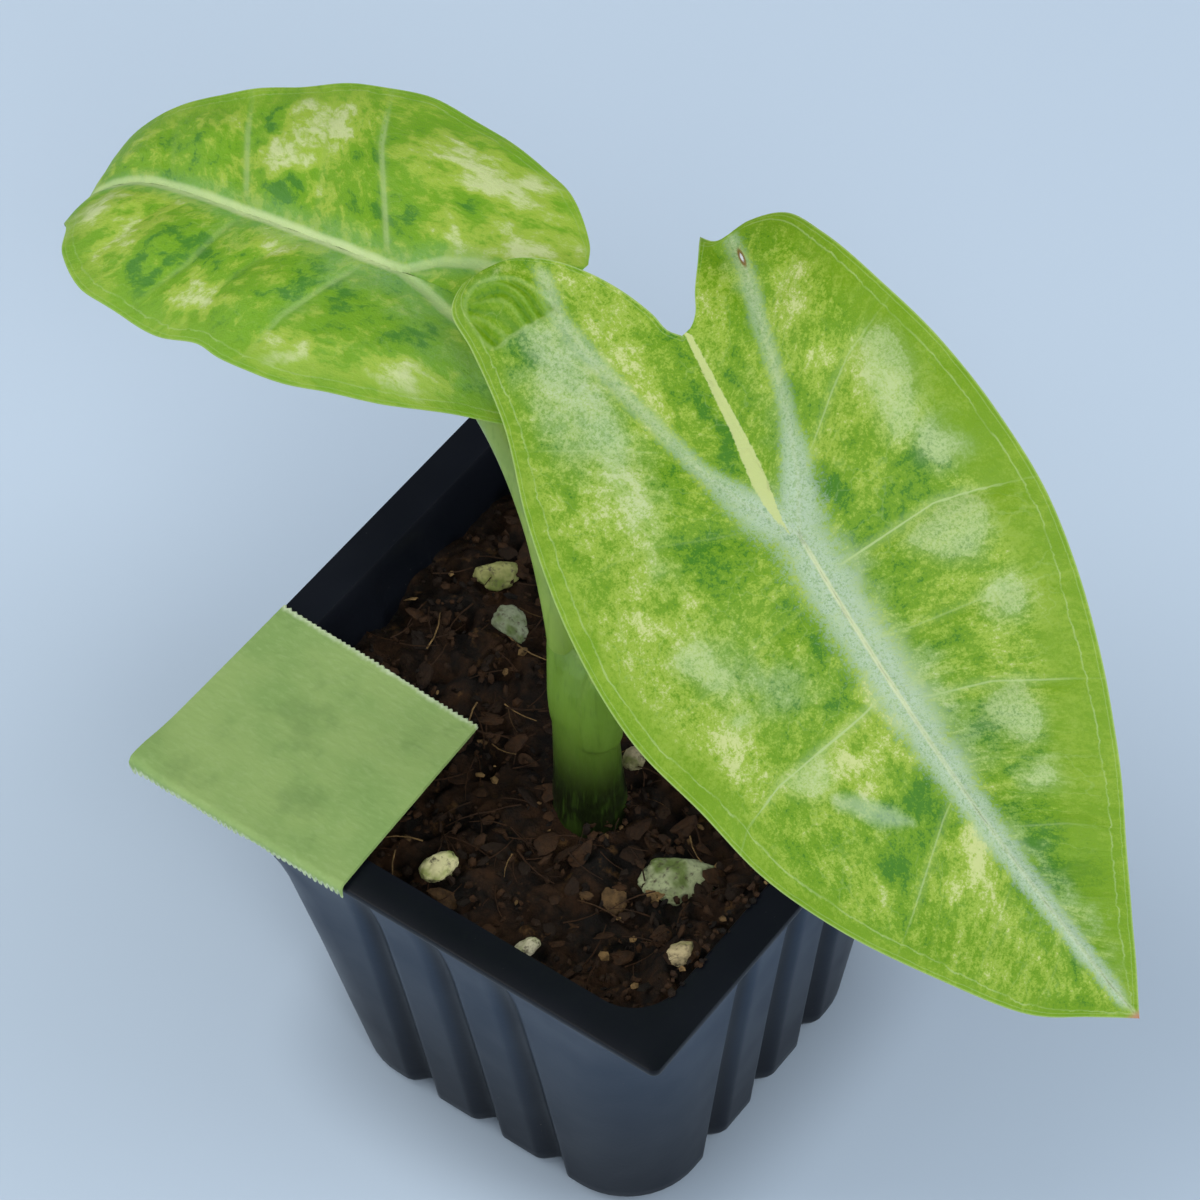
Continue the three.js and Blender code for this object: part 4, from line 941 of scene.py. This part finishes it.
def half_blade(name, blade, side):
    """One half of a blade, its upper face, thin margin and underside in one folded-over grid."""
    key = "left" if side < 0 else "right"
    start, margin = half_layout(blade, blade[key], blade[key + "_lobe"])
    count = len(ACROSS) - 1

    def lay(column, row):
        def from_table(name):
            return np.interp(u, *zip(*blade[f"{key}_{name}"]))

        upper = column <= count
        t = ACROSS[np.where(upper, column, 2 * count - column)]
        flat = start[row] + (margin[row] - start[row]) * t[:, None]
        u, v = flat[:, 0], flat[:, 1]
        away = abs(v)
        span = np.linalg.norm(margin[row] - start[row], axis=1)
        to_margin = (1 - t) * span
        to_inner = np.where(row >= LOBE_ROWS, np.hypot(u - blade["sinus"], v), t * span)
        edge = np.minimum(to_margin, to_inner)
        phase, gap = vein_field(blade[key + "_veins"], u, away)
        shown = np.array(blade[key + "_shown"], float)[np.rint(phase).astype(int)]
        # Soft places are shaken out of their round shape, in large and in small steps
        shake = sampled(noise.noise_vector, u / 2.2, v / 2.2, 7.0) + 0.5 * sampled(noise.noise_vector, u, v, 2.0)
        shaken = lambda amount: (u + amount * shake[:, 0], v + amount * shake[:, 1])
        shining = depth_inside(blade["shining"], *shaken(0.3))
        bluish = depth_inside(blade["bluish"], *shaken(0.4))
        creased = depth_inside(blade["creased"], u, v)
        streak_u, streak_v, streak_half = zip(*blade["streak"])
        streak = np.interp(u, streak_u, streak_half, -1, -1) - abs(v - np.interp(u, streak_u, streak_v))
        spine = np.where(u > 0, away, (away - from_table("spine")) * 0.95)
        to_vein = np.minimum(phase % 1, 1 - phase % 1) * gap
        # Quilted between the veins, sunken along them and raised in places
        inside = np.clip(edge / 5, 0, 1) * np.clip(spine / 3, 0, 1)
        off_edge = np.clip(edge / 3, 0, 1)
        bulge = 0.55 * inside * np.sin(np.pi * (phase % 1)) * np.minimum(gap / 9, 1)
        bulge -= 0.16 * near(to_vein, 0.45) * inside * (0.3 + 0.7 * shown)
        bulge += 0.10 * np.clip((shining + 0.5) / 1.0, 0, 1) + 0.10 * np.clip((bluish + 0.4) / 0.8, 0, 1)
        fold = np.hypot(u + 24.6, v + 17.5)
        fold = np.sin((fold + 0.35 * np.sin(0.9 * u) + 0.3 * np.sin(1.3 * v)) * 2 * np.pi / 1.35)
        bulge += np.clip((creased + 0.3) / 0.8, 0, 1) * (0.2 * fold - 0.26)
        bulge += 0.16 * near(creased + 0.15, 0.45) - 0.10 * near(streak, 0.5) * (streak > -0.8)
        bulge -= 0.22 * near(spine, 0.38) * off_edge
        bulge += spread(blade["bumps"], u, v) * off_edge
        wrinkle = sampled(noise.fractal, (u - 0.5 * away) / 2.4, v / 3.4, float(side), 1.0, 2.0, 3)
        bulge += 0.075 * wrinkle * np.clip(edge / 1.5, 0.15, 1)
        wave = sampled(noise.noise, u / 7, v / 7, side * 4.0)
        bulge += 0.7 * wave * near(to_margin, 3) * np.clip((blade["tip"] - u) / 12, 0, 1)
        # The underside: the blade's thickness, the midrib, the lobes' ribs and the veins
        body = BLADE_THICKNESS * np.sqrt(np.clip(edge / 0.7, 0, 1)) * (0.55 + 0.45 * np.clip(edge / 4, 0, 1))
        fade = np.where(u < 0, 1 + u / RIB_RUN_OUT, 1 - u / blade["tip"])
        rib = RIB_HEIGHT * np.maximum(fade, 0) * near(v, RIB_WIDTH) * np.clip(edge / 1.5, 0, 1)
        rib += 0.45 * near(spine, 0.7) * off_edge * np.where(u < 0, np.clip(1 + u / 30, 0, 1), 0)
        rib += 0.25 * near(to_vein, 0.5) * inside
        far = shaken(1.5)
        return blade_points(blade, u, v, bulge, np.where(upper, 0, body + rib)), {
            "u": u, "v": v, "phase": phase, "gap": gap, "spine": spine, "edge": edge, "upper": upper * 1.0,
            "shown": shown, "inset": to_margin - from_table("inset"), "border": to_margin - from_table("border"),
            "shining": np.maximum(shining, -3), "bluish": np.maximum(bluish, -3), "creased": np.maximum(creased, -3),
            "streak": streak, "fold": fold, "tone": spread(blade["tones"], *far), "veil": spread(blade["veils"], *far),
        }

    return laid_grid(name, 2 * count, LOBE_ROWS + RIB_ROWS, lay)


def whole_blade(name, blade):
    halves = [half_blade(name + "_left", blade, -1), half_blade(name, blade, 1)]
    pick(*halves)
    bpy.ops.object.join()
    closed_up(halves[1], smooth=70)
    return halves[1]


def leaf_colours(group, given, put):
    """The mottled green of a blade, its pale veins and its silver bands, from the layout that
    every vertex carries. Distances are in millimetres."""
    field = lambda name: stored(put, name)
    about = lambda value, amount: (value - 0.5) * amount
    joined = lambda *parts: node(group, "ShaderNodeCombineXYZ", None, dict(enumerate(parts))).outputs[0]
    u, v, phase, gap, spine, edge = (field(name) for name in ("u", "v", "phase", "gap", "spine", "edge"))
    grain, share, width = given["Grain"], given["Silver share"], given["Line width"]
    # Coordinates that run along the side veins, so that the mottling is drawn out that way
    place = joined(phase * 7, v * (0.95 - grain * between(v, -3, 3, 0.3, 0.53)), given["Seed"])
    plain = joined(u, v, given["Seed"])
    large = noise_at(plain, 0.22, 2, 0.5)
    middle = noise_at(place, 0.7, 4, 0.6, 0.4)
    small = noise_at(place, 1.5, 5, 0.7, 0.3)
    fine = noise_at(plain, 2.7, 4, 0.75)
    speck = noise_at(plain, 6.5, 2, 0.7)
    # The mottling fades out in the smooth border
    inner = between(field("border") + about(middle, 2.6), -1, 1.6)
    soft = (about(large, 0.7) + about(middle, 0.9)) * given["Broad"]
    grainy = (about(fine, 0.95) + about(speck, 0.7)) * grain
    brushed = about(small, 1.3) * (0.4 + grain * 0.6)
    level = 0.46 + field("tone") + (soft + brushed + grainy) * (0.55 + inner * 0.45)
    colour = blend(between(level, 0.06, 0.34), given["Deep"], given["Green"])
    colour = blend(between(level, 0.40, 0.68), colour, given["Lime"])
    colour = blend(between(level, 0.70, 1.04), colour, given["Cream"])
    colour = blend((1 - inner) * 0.5, colour, given["Border"])
    # Silver bands along the midrib and the large veins of the lobes, of grains with green between
    to_spine = abs(spine)
    reach = between(u, -2, 46, 2.2, 0.62) * between(u, -10, 1.5, 0.3, 1)
    ragged = (about(small, 1.1) + about(middle, 0.8)) + (about(fine, 2.6) + about(speck, 1.8))
    grains = between(fine * 0.5 + speck * 0.5, 0.38, 0.58)
    silver = between(to_spine / reach + ragged * grain, 1.5, 0.5) * (0.46 + grains * 0.54)
    silver = silver * (between(edge, 0.4, 2) * between(u, -14, -1, 0.5, 1))
    # Veils of a paler, yellower grain
    cell = between(field("creased"), 0, 0.4)
    veil = between(field("veil") + (about(small, 0.7) + about(fine, 0.4)), 0, 1.15)
    veil = veil * (0.42 + grains * 0.5) * between(edge, 0.4, 2) * (1 - cell * 0.8)
    colour = blend(veil * share, colour, blend(0.5, given["Silver"], given["Shine"]))
    colour = blend(silver * (share * share), colour, given["Silver"])
    # Shining places, a painted highlight: the mottles still show through, and only part of their outline is sharp
    shine = field("shining") + (about(small, 1.2) + about(fine, 1))
    shine = between(shine, -0.1, 0.25, 0, 0.22) + between(shine, -1.5, 1.5, 0, 0.38)
    colour = blend(shine * (0.6 + grains * 0.7), colour, given["Shine"])
    # Bluish places, a painted bluish reflection
    blue = between(field("bluish") + (about(small, 1.4) + about(fine, 0.9)), -0.5, 0.7)
    colour = blend(blue * 0.42, colour, given["Silver"])
    # A creased cell is bare of mottling and deep green, with painted shade in the furrows of its folds and a painted
    # highlight on their crests
    colour = blend(cell * (0.5 + about(small, 1.2)), colour, given["Green"])
    fold = field("fold") + about(small, 1.8)
    colour = blend(cell * (between(fold, -0.2, -1) * 0.4), colour, given["Deep"])
    crest = cell * between(fold, 0.45, 1)
    ridge = between(abs(field("creased") + about(small, 0.3)), 0.30, 0.05)
    # Side veins: a crisp pale line that thins out towards the margin
    turn = maths("FRACT", phase)
    to_vein = maths("MINIMUM", turn, 1 - turn) * gap
    outside = between(spine, 0.6, 2.6) * field("shown")
    line = between(to_vein + about(small, 0.16), width * 1.5, width * 0.3)
    line = line * (outside * between(edge, 1.5, 6, 0.15, 0.8))
    glow = between(to_vein + about(small, 1.2), 0.9, 0.1) * (outside * between(edge, 2, 8, 0, 0.22))
    hair = between(abs(field("inset") + about(middle, 1)), 0.11, 0.03) * between(middle, 0.3, 0.65, 0.1, 0.5)
    hair_2 = between(abs(edge - 0.42 + about(middle, 0.35)), 0.07, 0.02) * 0.25
    # Fine netted veins between the side veins, only just paler
    shift = node(group, "ShaderNodeTexNoise", None, {"Vector": plain, "Scale": 0.9}).outputs["Color"]
    bent = node(group, "ShaderNodeVectorMath", {"operation": "ADD"}, {0: place, 1: shift}).outputs[0]
    net = node(group, "ShaderNodeTexVoronoi", {"feature": "DISTANCE_TO_EDGE"}, {"Vector": bent, "Scale": 0.5})
    net = between(net.outputs["Distance"], 0.03, 0.004) * (between(edge, 0.8, 2.5, 0, 0.14) * between(large, 0.45, 0.6))
    margin = between(edge, 0.20, 0.05) * 0.5
    # Pale lines, and the painted highlight on the crests of the creased cell's folds
    for mask in (net, glow, line, hair, hair_2, ridge * 0.2, crest * 0.1, margin):
        colour = blend(mask, colour, given["Vein"])
    # The midrib, and the cream streak in the notch
    rib = between(to_spine + about(small, 0.25), given["Rib width"], given["Rib width"] * 0.35)
    rib = rib * (between(u, -1, 3, given["Rib on lobes"], 0.8) * between(u, 11, 30, 1, given["Rib end"]))
    colour = blend(rib, colour, given["Rib"])
    streak = between(field("streak") + (about(fine, 0.3) + about(small, 0.3)), -0.03, 0.09)
    feed(put, {
        "Colour": blend(streak * 0.9, colour, given["Cream"]),
        "Roughness": between(fine, 0.3, 0.7, 0.42, 0.56) + maths("MAXIMUM", shine, blue) * -0.12,
        "Height": fine * 0.5 + (small * 0.7 + middle * 0.8),
    })
    return group


# Shine is the pale colour that the painted highlight takes
SHADES = ["Deep", "Green", "Lime", "Cream", "Silver", "Shine", "Border", "Vein", "Rib"]
SHARES = ["Broad", "Grain", "Silver share", "Rib width", "Rib on lobes", "Rib end", "Line width", "Seed"]
leaf_group = leaf_colours(*new_group("leaf_colours", SHADES, SHARES, ["Roughness", "Height"]))


def leaf_skin(name, shades, shares):
    material, shader, _ = finish_of(name)
    inputs = {**{key: paint(*value) for key, value in zip(SHADES, shades)}, **dict(zip(SHARES, shares))}
    group = node(shader.id_data, "ShaderNodeGroup", {"node_tree": leaf_group}, inputs)
    # The underside is plainer and paler
    under = blend(0.6, group.outputs["Colour"], paint(138, 166, 88))
    colour = blend(between(stored(shader, "upper"), 0.2, 0.8), under, group.outputs["Colour"])
    feed(shader, {
        "Base Color": colour, "Roughness": group.outputs["Roughness"], "Normal": bump(group.outputs["Height"], 0.14),
        "Subsurface Weight": 0.06, "Subsurface Radius": (0.4 * MM, 0.7 * MM, 0.2 * MM), "Subsurface Scale": 1,
        "Specular IOR Level": 0.28,
    })
    return material, shader, colour


blade_front = whole_blade("leaf_front", BLADE_FRONT)
front_skin, shader, colour = leaf_skin(
    "leaf_blade_front",
    [(58, 114, 0), (100, 142, 4), (138, 166, 50), (184, 194, 126), (168, 188, 162), (168, 188, 130), (112, 148, 14),
     (166, 188, 124), (200, 208, 164)],
    [0.85, 1, 1, 0.29, 0.1, 0.35, 0.1, 3],
)
# A nibbled hole in the right lobe, painted: a pale centre standing in for the bright floor seen through it, and a dry
# brown rim, and the dry reddish tip
HOLE_AT, HOLE_HALF, HOLE_TURN = (-22.9, 7.7), (0.46, 0.11), -0.12
flat_u, flat_v = stored(shader, "u"), stored(shader, "v")
from_u = flat_u - HOLE_AT[0]
part_u, part_v = from_u / HOLE_HALF[0], (flat_v - HOLE_AT[1] - from_u * HOLE_TURN) / HOLE_HALF[1]
speckle = node(shader.id_data, "ShaderNodeTexNoise", None, {"Scale": 2200, "Detail": 2, "Roughness": 0.55})
from_hole = maths("SQRT", part_u * part_u + part_v * part_v) + Value(speckle.outputs[0]) * 2.2
colour = blend(between(from_hole, 3.9, 2.7), colour, paint(112, 88, 28))
colour = blend(between(from_hole, 2.2, 1.8), colour, paint(206, 212, 214))
colour = blend(between(flat_u, 49.4, 50.4), colour, paint(172, 118, 96))
feed(shader, {"Base Color": colour})
dress(blade_front, front_skin, "leaf_blade", "blade_front")

blade_back = whole_blade("leaf_back", BLADE_BACK)
back_skin, *_ = leaf_skin(
    "leaf_blade_back",
    [(70, 126, 34), (110, 157, 28), (150, 178, 60), (190, 202, 140), (108, 156, 108), (140, 172, 112), (114, 156, 34),
     (156, 184, 112), (194, 211, 152)],
    [1.35, 0.3, 0.6, 0.8, 0.45, 0.7, 0.3, 11],
)
dress(blade_back, back_skin, "leaf_blade", "blade_back")


# The leafstalks: round, fleshy and a little grooved, widening into the midrib under the blade.
STALK_FRONT = [
    (6.3, -6.1, 55.5), (6.6, -6.2, 58.3), (7.6, -6.2, 65), (10.8, -6, 75), (15.6, -5.6, 84.5), (21.6, -4.9, 91.8),
]
STALK_BACK = [
    (2.8, -5.2, 55.5), (2.6, -5.2, 58.3), (2.5, -5.1, 64), (1.8, -5, 71.5), (-0.1, -4.7, 81), (-3.4, -4.3, 89),
    (-8.4, -3.7, 95.2),
]
STALK_FOOT, STALK_TOP = 1.8, 1.5
STALK_ROUND, STALK_LONG = 36, 90


def stalk(name, path, blade):
    end = blade_points(blade, np.zeros(1), np.zeros(1), np.zeros(1), np.array([0.75]))[0]
    middle, _ = smooth_line([*path, tuple(end)], np.linspace(0, 1, STALK_LONG + 1))
    heading = np.gradient(middle, axis=0)
    heading /= np.linalg.norm(heading, axis=1)[:, None]
    across = np.cross(heading, (0, 0, 1))
    across[np.linalg.norm(across, axis=1) < 1e-6] = (1, 0, 0)
    across /= np.linalg.norm(across, axis=1)[:, None]
    upward = np.cross(across, heading)

    blade_up = blade_axes(blade)[2]

    def lay(column, row):
        share = row / STALK_LONG
        turn = 2 * np.pi * column / STALK_ROUND
        radius = STALK_FOOT + (STALK_TOP - STALK_FOOT) * share
        radius = radius * (1 - 0.10 * near(np.sin((turn - np.pi / 2) / 2), 0.22))
        radius = radius * (1 + 0.28 * near((1 - share) / 0.05, 1))
        ring = np.cos(turn)[:, None] * across[row] + np.sin(turn)[:, None] * upward[row]
        ring = middle[row] + radius[:, None] * ring
        # The end lies flat under the blade's face, inside its rib
        over = (ring - np.array(blade["junction"])) @ blade_up
        return ring - np.maximum(over + 0.38, 0)[:, None] * blade_up, {}

    piece = laid_grid(name, STALK_ROUND, STALK_LONG, lay)
    closed_up(piece, holes=True)
    return piece


stalk_front = stalk("stalk_front", STALK_FRONT, BLADE_FRONT)
stalk_back = stalk("stalk_back", STALK_BACK, BLADE_BACK)


def fleshy_skin(name, low, high, dark, level_low, level_high):
    """Smooth green skin with fine lengthwise lines, one colour below and another above. On the stem the dark colour
    below is painted shade.
    """
    material, shader, where = finish_of(name)
    height = parts_of(where)[2]
    colour = blend(between(height, level_low * MM, level_high * MM), paint(*low), paint(*high))
    drawn = node(shader.id_data, "ShaderNodeMapping", None, {0: where, "Scale": (1, 1, 0.12)}).outputs[0]
    lines = noise_at(drawn, 2200)
    colour = blend(between(lines, 0.5, 0.75) * 0.35, colour, paint(*dark))
    colour = blend(between(noise_at(where, 260), 0.5, 0.7) * 0.25, colour, paint(*dark))
    feed(shader, {
        "Base Color": colour, "Roughness": between(noise_at(where, 900, 2), 0.3, 0.7, 0.32, 0.44),
        "Normal": bump(lines, 0.05), "Subsurface Weight": 0.15,
        "Subsurface Radius": (0.8 * MM, 1.2 * MM, 0.3 * MM), "Subsurface Scale": 1,
    })
    return material


stalk_skin = fleshy_skin("stalk_skin", (104, 138, 44), (146, 172, 78), (84, 120, 36), 56, 76)
dress(stalk_front, stalk_skin, "stalk_skin", "leafstalk_front")
dress(stalk_back, stalk_skin, "stalk_skin", "leafstalk_back")


# The stem: leaf sheaths wrapped round each other, standing in the mix. Each stalk grows out of
# its own sheath at the top, so the two tubes and the stem are fused into one skin.
STEM_WIDTH, STEM_DEPTH, STEM_TURN = 7, 6.4, math.radians(-10)
# Its width and depth at heights from the buried foot to the top, the first two as shares
STEM_PROFILE = [
    (0.35, 0.4, 32), (0.85, 0.95, 33.2), (1.1, 1.2, 36), (1.12, 1.2, 40), (1.02, 1.06, 44), (0.98, 0.9, 49),
    (1.0, 0.8, 54), (1.05, 0.7, 58), (1.1, 0.58, 61.5), (0.9, 0.42, 64), (0.5, 0.2, 66),
]
STEM_ROUND, STEM_LONG = 64, 70
SHEATH_ROUND, SHEATH_LONG, SHEATH_TOP = 32, 40, 67


def stem_lay(column, row):
    share = np.linspace(0, 1, STEM_LONG + 1)[row]
    width, depth, z = (np.array(values) for values in zip(*STEM_PROFILE))
    level = np.interp(share, np.linspace(0, 1, len(z)), z)
    turn = 2 * np.pi * column / STEM_ROUND
    lap = (turn / (2 * np.pi) + 0.004 * (level - 40)) % 1
    wrap = 1 + 0.07 * lap - 0.05 * near(np.minimum(lap, 1 - lap), 0.02)
    x = STEM_WIDTH * np.interp(level, z, width) / 2 * np.cos(turn) * wrap
    y = STEM_DEPTH * np.interp(level, z, depth) / 2 * np.sin(turn) * wrap
    turned_x = STEM_AT[0] + x * math.cos(STEM_TURN) - y * math.sin(STEM_TURN)
    turned_y = STEM_AT[1] + x * math.sin(STEM_TURN) + y * math.cos(STEM_TURN)
    return np.stack([turned_x, turned_y, level], axis=1), {}


def sheath(name, path):
    """The round tube of leaf base that a stalk comes out of."""
    line, _ = smooth_line(path[:4], np.linspace(0, 1, SHEATH_LONG + 1))
    line = line[line[:, 2] < SHEATH_TOP]

    def lay(column, row):
        turn = 2 * np.pi * column / SHEATH_ROUND
        radius = np.interp(row / (len(line) - 1), [0, 0.6, 0.85, 1], [2.25, 2.05, 1.88, 1.6])
        return line[row] + np.stack([radius * np.cos(turn), radius * np.sin(turn), 0 * turn], axis=1), {}

    tube = laid_grid(name, SHEATH_ROUND, len(line) - 1, lay)
    closed_up(tube, holes=True)
    return tube


stem = laid_grid("stem_sheaths", STEM_ROUND, STEM_LONG, stem_lay)
closed_up(stem, holes=True)
pick(sheath("sheath_front", STALK_FRONT), sheath("sheath_back", STALK_BACK), stem)
bpy.ops.object.join()
fuse = stem.modifiers.new("fuse", "REMESH")
fuse.mode = "VOXEL"
fuse.voxel_size = 0.25 * MM
bpy.ops.object.modifier_apply(modifier=fuse.name)
relax = stem.modifiers.new("relax", "SMOOTH")
relax.factor, relax.iterations = 0.5, 14
bpy.ops.object.modifier_apply(modifier=relax.name)
bpy.ops.object.shade_smooth()
# The stem's dark foot is painted shade, where the leaves keep the light off it
stem_skin = fleshy_skin("stem_skin", (20, 28, 8), (108, 142, 48), (72, 104, 32), 47, 61)
dress(stem, stem_skin, "stem_skin", "stem")


# The tape: a square of pale green creped paper tape over one corner of the rim, torn off along a
# toothed blade at both ends. Its writing is left off: only faint smudges are left.
TAPE_NEAR, TAPE_RIGHT, TAPE_FAR, TAPE_LEFT = np.array([(-30, -28.8), (-4.9, -29.8), (-6.1, -8.3), (-29.8, -7.7)])
TAPE_ACROSS, TAPE_ALONG, TAPE_TEETH, TAPE_TOOTH = 240, 120, 40, 0.36
TAPE_THICK, TAPE_HANG, TAPE_BEND = 0.22, 1.25, 0.06
RIM_SIDE = -30.05


def tape_lay(column, row):
    upper = row <= TAPE_ALONG
    along = np.where(upper, row, 2 * TAPE_ALONG - row) / TAPE_ALONG
    s = column / TAPE_ACROSS
    # The near end is bent down over the rim's edge: its last rows hang
    hang = np.clip(1 - along / TAPE_BEND, 0, 1)
    bent = np.clip(hang * 3, 0, 1)
    on_top = np.clip((along - TAPE_BEND) / (1 - TAPE_BEND), 0, 1)
    low = TAPE_NEAR + (TAPE_RIGHT - TAPE_NEAR) * s[:, None]
    low[:, 1] = RIM_SIDE
    high = TAPE_LEFT + (TAPE_FAR - TAPE_LEFT) * s[:, None]
    flat = low + (high - low) * on_top[:, None]
    uneven = sampled(noise.noise, s * 9, 1.7, 0.0)
    tooth = abs((s * TAPE_TEETH + 0.5 * uneven) % 1 - 0.5) * 2
    ragged = TAPE_TOOTH * (tooth - 0.5) * (0.7 + 0.8 * uneven)
    x, y = flat[:, 0], flat[:, 1] - ragged * near((1 - along) / 0.03, 1) - 0.22 * np.sin(bent * np.pi / 2)
    spot = lambda at_x, at_y, reach: near(np.hypot(x - at_x, y - at_y), reach)
    base = POT_HEIGHT + 0.3 + 0.5 * spot(-30, -29, 2.8) * (1 - hang) - 0.5 * spot(-8, -9, 9.5)
    crepe = sampled(noise.noise, x * 0.5, y * 3.2, 0.0) + 0.6 * sampled(noise.noise, x * 1.3, y * 6.5, 4.0)
    z = base + 0.12 + 0.03 * crepe + 0.12 * sampled(noise.noise, x / 7, y / 9, 2.0)
    to_end = np.minimum(along, 1 - along) * 21
    thick = TAPE_THICK * np.clip(np.minimum(np.minimum(s, 1 - s) * 25, to_end) / 0.1, 0, 1)
    drop = TAPE_HANG * hang + 3.2 * ragged * near(along / 0.03, 1) + 0.12 * uneven * hang
    z = z + np.where(upper, thick, 0) - drop
    y = y - np.where(upper, thick * bent, 0)
    return np.stack([x, y, z], axis=1), {"to_end": to_end}


tape = laid_grid("paper_tape", TAPE_ACROSS, 2 * TAPE_ALONG, tape_lay)
closed_up(tape, smooth=50)
paper, shader, where = finish_of("paper_tape")
stretched = node(shader.id_data, "ShaderNodeMapping", None, {0: where, "Scale": (0.5, 1, 1)}).outputs[0]
crepe = noise_at(stretched, 1800, 5, 0.65)
colour = blend(between(noise_at(where, 110), 0.35, 0.65), paint(126, 156, 86), paint(140, 166, 96))
colour = blend(between(crepe, 0.45, 0.75) * 0.3, colour, paint(160, 184, 122))
colour = blend(between(noise_at(where, 150, 4, 0.6), 0.54, 0.72) * 0.4, colour, paint(98, 128, 66))
# Paler at the torn ends: frayed white paper, and a painted highlight along the cut teeth
frayed_and_highlit = between(stored(shader, "to_end") + noise_at(where, 900) * 0.8, 1.1, 0.45)
colour = blend(frayed_and_highlit * 0.8, colour, paint(200, 213, 178))
feed(shader, {"Base Color": colour, "Roughness": 0.75, "Normal": bump(crepe, 0.05)})
dress(tape, paper, "paper_tape", "tape_label")
